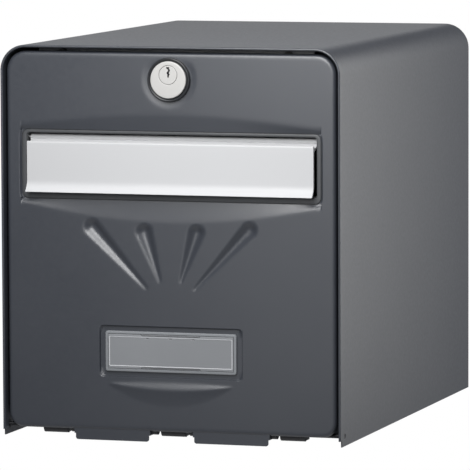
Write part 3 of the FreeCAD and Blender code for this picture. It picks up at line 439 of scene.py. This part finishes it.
DISH_SINK, DISH_NEAR, DISH_FADE, DISH_TOP, DISH_TOP_FADE = 0.6, 18, 6, 8, 9
BROW_HALF, BROW_MIDDLE, BROW_END, BROW_RAISE = 52.0, 40.4, 45.0, 1.7
BROW_ABOVE, BROW_BELOW = 7.5, 13.0
TAB_NEAR, TAB_FAR = 17.6, 82.8
EDGE_TURNS = (16, 32, 48, 62, 76, 90)   # degrees of the rings round the door's edge
RINGS_AT_TAB, RINGS_AT_FOOT = 3, 6      # rings that are left above the tabs and along the foot
MIDWAY = 150                            # level that parts the edge's lower corners from its upper ones
BROW_LINE, FLUTE_LINE = 27.0, 119.0     # levels of two grid lines, under the brow and under the flutes


def lens_edge(x, rise, end, base):
    """Height of a circle's arc over the mouth: base + end at the mouth's ends, base + rise at its middle."""
    half, sagitta = MOUTH_HIGH[0], abs(rise) - end
    radius = (half ** 2 + sagitta ** 2) / (2 * sagitta)
    across = np.clip(x, -half, half)
    drop = radius - np.sqrt(radius ** 2 - across ** 2)
    return base + np.sign(rise) * (abs(rise) - drop)


def pressing(x, z):
    """How far the door's skin is pressed back at (x, z), in millimetres.

    The lens slopes evenly from its arcs to the mouth. A flute is a smooth channel whose depth is a fixed
    share of its own half width. The plate's pocket has a steep wall, the dish round the lock a slow one, and
    the brow under the plate stands forward: a short slope down to its crest and a longer one below.
    """
    upper = lens_edge(x, LENS_RISE, LENS_END, MOUTH_HIGH[1])
    lower = lens_edge(x, -LENS_DROP, LENS_END, MOUTH_LOW[1])
    over = LENS_SINK / (upper - MOUTH_HIGH[1]) * rising(upper - z, LENS_UPPER_SOFT)
    under = LENS_SINK / (MOUTH_LOW[1] - lower) * rising(z - lower, LENS_LOWER_SOFT)
    beside = np.abs(x) <= MOUTH_HIGH[0] + 0.01
    lens = np.where(beside, np.minimum(np.minimum(over, under), LENS_SINK), 0)
    wall = outside(x, z, MOUTH_LOW, MOUTH_HIGH, MOUTH_CORNER)
    depth = np.maximum(lens, LENS_SINK * (1 - smooth(wall / MOUTH_SOFT)))
    for side in (-1, 1):
        for head, tail in FLUTES:
            way = np.array([side * (tail[0] - head[0]), tail[1] - head[1]])
            along = ((x - side * head[0]) * way[0] + (z - head[1]) * way[1]) / (way @ way)
            along = np.clip(along, 0, 1)
            half = FLUTE_HEAD + (FLUTE_TAIL - FLUTE_HEAD) * along
            off = np.hypot(x - side * head[0] - along * way[0], z - head[1] - along * way[1]) / half
            depth = np.maximum(depth, FLUTE_SINK * half * (1 - smooth((off - 0.1) / 0.88)))
    pocket = 1 - smooth(outside(x, z, PLATE_LOW, PLATE_HIGH, PLATE_CORNER) + 0.5)
    depth = np.maximum(depth, PLATE_SINK * pocket)
    far = np.hypot(x - LOCK[0], z - LOCK[1])
    dish = 1 - smooth((far - DISH_NEAR) / DISH_FADE)
    dish *= 1 - smooth((z - LOCK[1] - DISH_TOP) / DISH_TOP_FADE)
    depth = np.maximum(depth, DISH_SINK * dish)
    share = np.clip(1 - (x / BROW_HALF) ** 2, 0, 1)
    crest = BROW_END + (BROW_MIDDLE - BROW_END) * share
    above = np.clip((z - crest) / (1 + BROW_ABOVE * share), 0, 1)
    below = np.clip((crest - z) / (1 + BROW_BELOW * share), 0, 1)
    raised = BROW_RAISE * share ** 0.6 * (1 - smooth(above)) * (1 - below) ** 1.6
    return depth - raised


def door_pressing():
    """Door skin on a grid whose lines follow the lens's arcs, wrapped round the edge into its flanges.

    The grid is a rectangle whose corners are drawn in to arcs, with the mail slot's cells left out. Round
    its rim follow rings on a quarter circle of the edge's radius and then straight back along the flange.
    """
    half = DOOR_HIGH[0] - DOOR_EDGE
    right = lines((0, 1.3), (PLATE_HIGH[0] - 1, 0.3), (PLATE_HIGH[0] + 1, 1.35), (78, 2.6),
                  (MOUTH_HIGH[0] - 1.2, 0.6), (MOUTH_HIGH[0], 0.4), (MOUTH_HIGH[0] + 2, 1.1), (half, 1))
    x = np.concatenate([-right[:0:-1], right])
    foot, top = DOOR_LOW[2] + DOOR_EDGE, DOOR_HIGH[2] - DOOR_EDGE
    ankle = DOOR_LOW[2] + DOOR_CORNER
    upper = lens_edge(x, LENS_RISE, LENS_END, MOUTH_HIGH[1])
    lower = lens_edge(x, -LENS_DROP, LENS_END, MOUTH_LOW[1])
    level = np.ones_like(x)
    keys = [(foot * level, 5), (ankle * level, 4), (BROW_LINE * level, 23), ((PLATE_LOW[1] - 1) * level, 7),
            ((PLATE_LOW[1] + 1) * level, 12), ((PLATE_HIGH[1] - 1) * level, 7),
            ((PLATE_HIGH[1] + 1) * level, 8),
            (FLUTE_LINE * level, 41), (lower - 1.0, 5), (lower + 0.9, 8), (MOUTH_LOW[1] * level, 22),
            (MOUTH_HIGH[1] * level, 7), (upper - 0.9, 5), (upper + 1.0, 26), (top * level, 1)]
    rows = []
    for (here, count), (there, _) in zip(keys[:-1], keys[1:]):
        rows.append(here + (there - here) * np.linspace(0, 1, count, endpoint=False)[:, None])
    z = np.vstack(rows + [keys[-1][0][None, :]])
    x = np.broadcast_to(x, z.shape).copy()
    count, across = z.shape
    hole = (np.abs(x) <= MOUTH_HIGH[0] + 1e-6) & (z >= MOUTH_LOW[1] - 1e-6) & (z <= MOUTH_HIGH[1] + 1e-6)
    for side in (-1, 1):
        for rim, radius, far in ((foot, DOOR_CORNER - DOOR_EDGE, -1), (top, DOOR_CROWN - DOOR_EDGE, 1)):
            x, z = rounded_off(x, z, (side * (half - radius), rim - far * radius), radius, (side, far), 1)
        for rim, far in ((MOUTH_LOW[1], -1), (MOUTH_HIGH[1], 1)):
            centre = (side * (MOUTH_HIGH[0] - MOUTH_CORNER), rim - far * MOUTH_CORNER)
            x, z = rounded_off(x, z, centre, MOUTH_CORNER, (side, far), 1.7)
    skin = np.stack([x, DOOR_LOW[1] + pressing(x, z), z], -1).reshape(-1, 3)
    faces = grid_faces(count, across)
    faces = faces[~hole.reshape(-1)[faces].all(1)]
    index = np.arange(count * across).reshape(count, across)
    rim = np.concatenate([index[0, :-1], index[:-1, -1], index[-1, :0:-1], index[:0:-1, 0]])
    edge = skin[rim]
    radius = np.where(edge[:, 2] < MIDWAY, DOOR_CORNER - DOOR_EDGE, DOOR_CROWN - DOOR_EDGE)
    outward = np.stack([edge[:, 0] - np.clip(edge[:, 0], -half + radius, half - radius),
                        edge[:, 2] - np.clip(edge[:, 2], foot + radius, top - radius)], 1)
    outward /= np.linalg.norm(outward, axis=1)[:, None]
    rings = [(DOOR_EDGE * math.sin(turn), DOOR_EDGE * (1 - math.cos(turn)))
             for turn in np.radians(EDGE_TURNS)]
    rings += [(DOOR_EDGE, back) for back in (5.5, 9, DOOR_HIGH[1] - DOOR_LOW[1])]
    points, start = [skin], count * across
    previous = rim
    under = edge[:, 2] < foot + 0.01
    at_tab = under & (np.abs(edge[:, 0]) > TAB_NEAR) & (np.abs(edge[:, 0]) < TAB_FAR)
    low = edge[:, 2] < ankle - 0.1
    wrapped = [faces]
    for step, (out, back) in enumerate(rings):
        points.append(np.stack([edge[:, 0] + outward[:, 0] * out, np.full(len(rim), DOOR_LOW[1] + back),
                                edge[:, 2] + outward[:, 1] * out], 1))
        here = start + np.arange(len(rim))
        start += len(rim)
        cells = np.stack([previous, here, np.roll(here, -1), np.roll(previous, -1)], 1)
        left_out = (at_tab & (step >= RINGS_AT_TAB)) | (low & (step >= RINGS_AT_FOOT))
        cells = cells[~(left_out | np.roll(left_out, -1))]
        wrapped.append(cells)
        previous = here
    points = np.vstack(points)
    faces = np.vstack(wrapped)
    used = np.unique(faces)
    fresh = np.full(len(points), -1)
    fresh[used] = np.arange(len(used))
    return points[used], fresh[faces].tolist()


show("door_pressing", *door_pressing(), body="door", slot="door_paint", stands_for=("door_panel",),
     sheet=DOOR_SHEET, crease=50)


# ---------------------------------------------------------------- mail slot and flap

FACE_LOW, FACE_HIGH, FACE_CORNER, FACE_FRONT, FACE_EDGE = (-125.4, 193.3), (125.4, 248.8), 5, 4.5, 0.6
THROAT_LOW, THROAT_HIGH, THROAT_CORNER, THROAT_EDGE = (-121.8, 198.5), (121.8, 246.2), 2.5, 0.9
THROAT_BACK, THROAT_WALL = 19.5, 1
LAP_LOW, LAP_HIGH, LAP_CORNER, LAP_FRONT, LAP_BACK = (-133.9, 184.8), (133.9, 257.3), 5.5, 5.5, 6.5


def slot_surround():
    """Moulded frame as one ring-shaped shell: a profile carried round rectangles of changing size,
    over its rounded face, through the mouth, back along the throat and round the flange."""
    loops = [frame_loop(FACE_LOW, FACE_HIGH, FACE_CORNER, LAP_FRONT)]
    for turn in np.radians((0, 30, 60, 90)):
        inset = FACE_EDGE * (1 - math.cos(turn))
        y = FACE_FRONT + FACE_EDGE - FACE_EDGE * math.sin(turn)
        loops.append(frame_loop(*grown(FACE_LOW, FACE_HIGH, -inset), FACE_CORNER - inset, y))
    for turn in np.radians((0, 22, 45, 68, 90)):
        spread = THROAT_EDGE * (1 - math.sin(turn))
        y = FACE_FRONT + THROAT_EDGE * (1 - math.cos(turn))
        loops.append(frame_loop(*grown(THROAT_LOW, THROAT_HIGH, spread), THROAT_CORNER + spread, y))
    for y, spread in ((12, 0), (THROAT_BACK, 0), (THROAT_BACK, THROAT_WALL), (LAP_BACK, THROAT_WALL)):
        loops.append(frame_loop(*grown(THROAT_LOW, THROAT_HIGH, spread), THROAT_CORNER + spread, y))
    loops.append(frame_loop(LAP_LOW, LAP_HIGH, LAP_CORNER, LAP_BACK))
    loops.append(frame_loop(LAP_LOW, LAP_HIGH, LAP_CORNER, LAP_FRONT))
    return facing_out(*loft(loops))


show("slot_surround", *slot_surround(), body="door", slot="door_paint", stands_for=("slot_frame",))

FLAP_HALF = corners("flap_panel")[1][0]
BEAD, BEAD_RADIUS = (12.5, 242.4), 2.6
FLAP_EASE = 0.35


def flap_profile():
    """Section of the extruded flap in (y, z), anticlockwise seen from the right: up the face from the flared
    lip, over the top, along the sagging web to the bead, round it, back under the web and down the rear."""
    lip = bend((-4.3, 199.0), (-1.6, 202.2), (-1.0, 203.0), 4)
    crease = bend((-1.0, 203.0), (0.5, 205.0), (0.5, 208.6), 7)
    face = np.array([(0.5, 215.0), (0.5, 226.0), (0.5, 237.4)])
    top = arc((1.7, 238.4), 1.2, 180, 70, 7)
    web = bend((3.0, 239.1), (5.6, 236.4), (9.6, 239.4), 8)
    bead = arc(BEAD, BEAD_RADIUS, 215, -78, 26)
    under = np.array([(10.4, 237.7), (7.6, 236.2)])
    inner = bend((5.2, 236.0), (2.5, 235.6), (2.5, 232.6), 6)
    rear = np.array([(2.5, 222.0), (2.5, 209.6)])
    tail = bend((2.5, 208.2), (2.5, 205.0), (0.6, 202.4), 7)
    tip = np.array([(-1.6, 199.6), (-2.3, 199.0)])
    return np.vstack([lip[:-1], crease, face, top, web, bead, under, inner, rear, tail, tip])


flap_points, flap_faces = facing_out(*bar(flap_profile(), -FLAP_HALF, FLAP_HALF, FLAP_EASE))
show("flap_moulding", flap_points, flap_faces, body="flap", slot="flap_metal", stands_for=("flap_panel",),
     crease=32)


# ---------------------------------------------------------------- lock

PLUG, PLUG_FRONT = (0.0, 294.4), -0.8
TAIL_HALF, TAIL_START, TAIL_END = 4, 20.4, 22.4
KEYWAY_DEEP = 11
KEYWAY = np.array([(-1.4, 6.4), (-1.2, 5.3), (0.1, 4.5), (0.4, 3.5), (-1.1, 2.0), (-1.0, 1.2), (-0.3, 0.55),
                   (-0.45, -0.55), (-0.4, -1.95), (0.85, -1.95), (0.8, -0.6), (1.65, 0.55), (0.8, 1.5),
                   (1.75, 3.5), (1.7, 4.4), (1.0, 5.3), (1.25, 6.4)])


def turned(profile, centre):
    """Rings of a profile of (radius, y) round an axis along y."""
    return [ring(centre, radius, y) for radius, y in profile]


def lock_rosette():
    """Rosette: a rounded ring behind the lock's face, hollowed for it."""
    outer = [(17.8, 3.9), (17.8, 1.2), (17.7, 0.7), (17.45, 0.3), (17.05, 0.05), (16.7, 0.0), (16.45, 0.1),
             (16.0, 0.45), (15.4, 0.85), (15.0, 1.0), (12.6, 1.05), (12.6, 3.9)]
    return facing_out(*loft(turned(outer, LOCK)))


def lock_face():
    """Lock housing: a face with a rounded rim and a barrel, bored off centre; a ring-shaped shell whose
    rings move from the lock's axis to the plug's."""
    loops = turned([(12.4, 20), (12.4, 1.0), (14.85, 1.0), (14.85, -0.2), (14.75, -0.55), (14.5, -0.8),
                    (14.2, -0.89), (14.0, -0.9)], LOCK)
    loops += turned([(8.2, -0.9), (7.95, -0.9), (7.8, -0.8), (7.75, -0.6), (7.75, 20)], PLUG)
    return facing_out(*loft(loops))


def key_plug():
    """Plug: a chamfered cylinder with a square tail, its front pierced by the warded keyway. The third value
    returned is true for the faces that lie in the keyway, whose black finish is painted shade for its depth."""
    turn = np.linspace(0, 2 * np.pi, ROUND, endpoint=False)
    square = TAIL_HALF / np.maximum(np.abs(np.cos(turn)), np.abs(np.sin(turn)))
    tail = [np.stack([PLUG[0] + square * np.cos(turn), np.full(ROUND, y), PLUG[1] + square * np.sin(turn)], 1)
            for y in (TAIL_START, TAIL_END)]
    side = [(7.0, PLUG_FRONT), (7.2, PLUG_FRONT), (7.4, -0.7), (7.45, -0.5), (7.45, TAIL_START)]
    body = turned(side, PLUG) + tail
    around = len(body) * ROUND
    ways = len(KEYWAY)
    slot = np.stack([PLUG[0] + KEYWAY[:, 0], np.full(ways, PLUG_FRONT), PLUG[1] + KEYWAY[:, 1]], 1)
    points = np.vstack(body + [slot, slot + (0, KEYWAY_DEEP, 0), tail[1].mean(0)[None, :]])
    faces = grid_faces(len(body), ROUND, around=True).tolist()
    step = np.arange(ROUND)
    last = (len(body) - 1) * ROUND
    faces += np.stack([last + step, last + (step + 1) % ROUND, np.full(ROUND, len(points) - 1)], 1).tolist()
    way = np.arange(ways)
    faces += np.stack([around + way, around + (way + 1) % ways, around + ways + (way + 1) % ways,
                       around + ways + way], 1).tolist()
    rim = [Vector((p[0], p[2], 0)) for p in body[0]]
    cut = [Vector((p[0], p[2], 0)) for p in slot]
    both = list(range(ROUND)) + list(range(around, around + ways))
    faces += [[both[corner] for corner in triangle] for triangle in tessellate_polygon([rim, cut])]
    faces += [[around + ways + corner for corner in triangle] for triangle in tessellate_polygon([cut])]
    # Keyway walls and floor: these faces are painted black as shade for the deep slot.
    keyway_shade = [min(face) >= around and max(face) < around + 2 * ways for face in faces]
    return points, faces, keyway_shade


def evened(points, faces):
    """Gives all faces of a closed shell one winding, and turns the shell to face out."""
    shell = bpy.data.meshes.new("evened")
    shell.from_pydata(points, [], faces)
    work = bmesh.new()
    work.from_mesh(shell)
    bmesh.ops.recalc_face_normals(work, faces=work.faces)
    work.to_mesh(shell)
    work.free()
    wound = [list(face.vertices) for face in shell.polygons]
    bpy.data.meshes.remove(shell)
    return facing_out(points, wound)


show("lock_rosette", *lock_rosette(), body="door", slot="black_gloss", stands_for=("lock_bezel",))
show("lock_face", *lock_face(), body="door", slot="lock_metal", stands_for=("lock_body",), crease=50)
plug_points, plug_faces, keyway_shade_faces = key_plug()
# The keyway's walls and floor take the black moulding finish as painted shade.
show("key_plug", *evened(plug_points, plug_faces), body="plug", slot="lock_metal", stands_for=("lock_plug",),
     others=[("black_moulding", keyway_shade_faces)])


# ---------------------------------------------------------------- name plate

LABEL_MIDDLE = 71.4
TRAY_HALF, TRAY_RISE, TRAY_BACK, TRAY_CORNER, TRAY_EDGE = 55.15, 16.3, 4.5, 2, 0.5
HOOK_HALF, HOOK_RISE, HOOK_THICK = 25, 14.1, 1.2
COVER_HALF, COVER_RISE, COVER_FRONT, COVER_BACK = 52.65, 13.8, 2.25, 3.0
BORDER_SIDE, BORDER_END, BORDER_RAISE, BORDER_HALF = 1.0, 2.0, 0.22, 0.5
SLIT_IN, SLIT_HALF, SLIT_DEEP = 0.75, 25, 0.5
THUMB_MARKS, MARK_DOWN, MARK_DEEP = (-19.5, 0.0, 19.2), 2.9, 0.4


def plate_tray():
    """Tray of the name plate as a ring-shaped profile with a solid floor, and its two hooks."""
    low, high = (-TRAY_HALF, LABEL_MIDDLE - TRAY_RISE), (TRAY_HALF, LABEL_MIDDLE + TRAY_RISE)
    loops = [frame_loop(low, high, TRAY_CORNER, TRAY_BACK)]
    for turn in np.radians((0, 30, 60, 90)):
        inset = TRAY_EDGE * (1 - math.cos(turn))
        y = 3.0 - TRAY_EDGE * math.sin(turn)
        loops.append(frame_loop(*grown(low, high, -inset), TRAY_CORNER - inset, y))
    for inset, corner, y in ((1.9, 0.8, 2.5), (2.2, 0.5, 2.8), (2.2, 0.5, 3.3)):
        loops.append(frame_loop(*grown(low, high, -inset), corner, y))
    tray = facing_out(*loft(loops, ends="capped"))
    hooks = []
    for level in (LABEL_MIDDLE - HOOK_RISE, LABEL_MIDDLE + HOOK_RISE):
        foot, head, ease = level - HOOK_THICK, level + HOOK_THICK, 0.2
        outline = np.array([(4.4, foot), (6.9, foot), (7.1, foot + ease), (7.1, head - ease), (6.9, head),
                            (4.4, head)])
        hooks.append(facing_out(*bar(outline, -HOOK_HALF, HOOK_HALF)))
    return joined(tray, *hooks)


def plate_window():
    """Clear cover: a slab whose front is a height field with a fine raised border line, a groove along the
    middle of each long edge, and three small thumb marks under the upper one. The third value returned
    pairs a paler finish with the border line's faces, and a darker finish, painted shade, with the faces
    in the grooves and thumb marks."""
    half, rise = COVER_HALF, COVER_RISE
    x = lines((-half, 0.35), (-half + 3.0, 1.2), (-26, 0.4), (-24, 1.2), (24, 0.4), (26, 1.2),
              (half - 3.0, 0.35), (half, 1))
    z = LABEL_MIDDLE + lines((-rise, 0.3), (-rise + 4.2, 1.5), (rise - 5.2, 0.3), (rise, 1))
    grid_x, grid_z = np.meshgrid(x, z)
    border = outside(grid_x, grid_z, (-half + BORDER_SIDE, LABEL_MIDDLE - rise + BORDER_END),
                     (half - BORDER_SIDE, LABEL_MIDDLE + rise - BORDER_END), 0.3)
    raised = BORDER_RAISE * (1 - smooth(np.abs(border) / BORDER_HALF))
    edge = rise - np.abs(grid_z - LABEL_MIDDLE)
    along = smooth((SLIT_HALF - np.abs(grid_x)) / 0.4)
    across = 1 - smooth((np.abs(edge - SLIT_IN) - 0.15) / 0.25)
    end_line = 1 - smooth((np.abs(np.abs(grid_x) - SLIT_HALF + 0.3) - 0.2) / 0.3)
    ends = end_line * smooth((SLIT_IN + 0.3 - edge) / 0.3)
    sunk = SLIT_DEEP * np.maximum(along * across, ends)
    for mark in THUMB_MARKS:
        away = np.hypot((grid_x - mark) / 1.7, (grid_z - LABEL_MIDDLE - rise + MARK_DOWN) / 0.6)
        sunk = np.maximum(sunk, MARK_DEEP * (1 - smooth((away - 0.6) / 0.4)))
    rim = np.minimum(half - np.abs(grid_x), rise - np.abs(grid_z - LABEL_MIDDLE))
    y = COVER_FRONT - raised + sunk + 0.2 * (1 - smooth(rim / 0.3))
    front = np.stack([grid_x, y, grid_z], -1).reshape(-1, 3)
    rear = np.stack([grid_x, np.full_like(grid_x, COVER_BACK), grid_z], -1).reshape(-1, 3)
    rows, columns = grid_x.shape
    cells = grid_faces(rows, columns)
    index = np.arange(rows * columns).reshape(rows, columns)
    rim_line = np.concatenate([index[0, :-1], index[:-1, -1], index[-1, :0:-1], index[:0:-1, 0]])
    after = np.roll(rim_line, -1)
    walls = np.stack([rim_line, rim_line + rows * columns, after + rows * columns, after], 1)
    faces = np.vstack([cells, cells[:, ::-1] + rows * columns, walls])
    others = []
    # Border line faces take the paler finish; groove and thumb mark faces the darker one, painted shade.
    line_from, groove_from = 0.1, 0.22
    for finish, height in (("frosted_line", raised - line_from), ("smoked_line", sunk - groove_from)):
        chosen = height.reshape(-1)[cells].mean(1) > 0
        others.append((finish, np.concatenate([chosen, np.zeros(len(faces) - len(cells), bool)])))
    return *facing_out(np.vstack([front, rear]), faces.tolist()), others


show("plate_tray", *plate_tray(), body="door", slot="frosted_plastic", stands_for=("label_holder",))
window_points, window_faces, window_marks = plate_window()
show("plate_window", window_points, window_faces, body="door", slot="clear_plastic",
     stands_for=("label_window",), crease=25, others=window_marks)


# ---------------------------------------------------------------- light, floor and camera

def from_front(azimuth, elevation):
    """Direction from the casing towards a place: degrees to the right of straight ahead, and degrees up."""
    a, e = math.radians(azimuth), math.radians(elevation)
    return Vector((math.sin(a) * math.cos(e), -math.cos(a) * math.cos(e), math.sin(e)))


def softbox(name, azimuth, elevation, distance, width, height, radiance):
    """Rectangular light aimed at the casing's middle; radiance times pi times its area is its power."""
    lamp = bpy.data.lights.new(name, "AREA")
    lamp.shape = "RECTANGLE"
    lamp.size, lamp.size_y = width, height
    lamp.energy = radiance * math.pi * width * height
    stand = bpy.data.objects.new(name, lamp)
    bpy.context.scene.collection.objects.link(stand)
    back = from_front(azimuth, elevation)
    stand.location = (cad_low + cad_high) / 2 + back * distance
    stand.rotation_euler = back.to_track_quat("Z", "Y").to_euler()
    stand.visible_camera = False


softbox("front_box", 4, 34, 0.9, 0.5, 0.7, 7.6)
softbox("near_box", -3, 2, 0.75, 0.2, 0.5, 0.9)
softbox("upper_right_box", 60, 62, 1.3, 0.6, 0.6, 3.0)
softbox("top_box", -10, 80, 2.0, 1.6, 1.6, 0.8)
softbox("rear_right_box", 126, 12, 0.85, 0.45, 0.9, 3.4)
softbox("rear_left_box", 211, 20, 2.6, 2.2, 1.6, 0.5)

world = bpy.data.worlds.new("studio")
world.use_nodes = True
bpy.context.scene.world = world
tree = world.node_tree
tree.nodes.clear()
seen = node(tree, "ShaderNodeLightPath").outputs["Is Camera Ray"]
dim = node(tree, "ShaderNodeBackground", Color=(0.9, 0.93, 1.0, 1), Strength=0.18)
pale = node(tree, "ShaderNodeBackground", Color=(1, 1, 1, 1), Strength=1.0)
mixed = node(tree, "ShaderNodeMixShader", Fac=seen)
tree.links.new(dim.outputs["Background"], mixed.inputs[1])
tree.links.new(pale.outputs["Background"], mixed.inputs[2])
node(tree, "ShaderNodeOutputWorld", Surface=mixed.outputs["Shader"])
bpy.context.scene.view_settings.view_transform = "Standard"

FLOOR_REACH, FLOOR_GAP = 5, 0.9
floor_mesh = bpy.data.meshes.new("floor")
drop = cad_low.z - FLOOR_GAP
floor_corners = [(x * FLOOR_REACH, y * FLOOR_REACH, drop) for x, y in ((-1, -1), (1, -1), (1, 1), (-1, 1))]
floor_mesh.from_pydata(floor_corners, [], [(0, 1, 2, 3)])
floor = bpy.data.objects.new("floor", floor_mesh)
bpy.context.scene.collection.objects.link(floor)
floor_mesh.materials.append(finish_of("floor_paper", (0.86, 0.86, 0.86), (0.88, 0.88, 0.88), 0.9, 0.02,
                                      40, 0.0001))

VIEW_AZIMUTH, VIEW_ELEVATION, VIEW_ROLL = 17.45, 5.427, math.radians(-0.234)
VIEW_DISTANCE, VIEW_LENS, SENSOR_WIDTH, FAR_END = 3.981, 368.1, 36, 200
VIEW_AIM = (8.15, 150.0, 152.9)
back = from_front(VIEW_AZIMUTH, VIEW_ELEVATION)
right = Vector((0, 0, 1)).cross(back).normalized()
upward = back.cross(right)
turned_right = math.cos(VIEW_ROLL) * right + math.sin(VIEW_ROLL) * upward
turned_up = -math.sin(VIEW_ROLL) * right + math.cos(VIEW_ROLL) * upward
lens = bpy.data.cameras.new("view")
lens.lens = VIEW_LENS
lens.sensor_width = SENSOR_WIDTH
lens.clip_end = FAR_END
viewer = bpy.data.objects.new("view", lens)
bpy.context.scene.collection.objects.link(viewer)
pose = Matrix((turned_right, turned_up, back)).transposed().to_4x4()
pose.translation = (Vector(VIEW_AIM) + Vector(ORIGIN)) / MM + back * VIEW_DISTANCE
viewer.matrix_world = pose
bpy.context.scene.camera = viewer
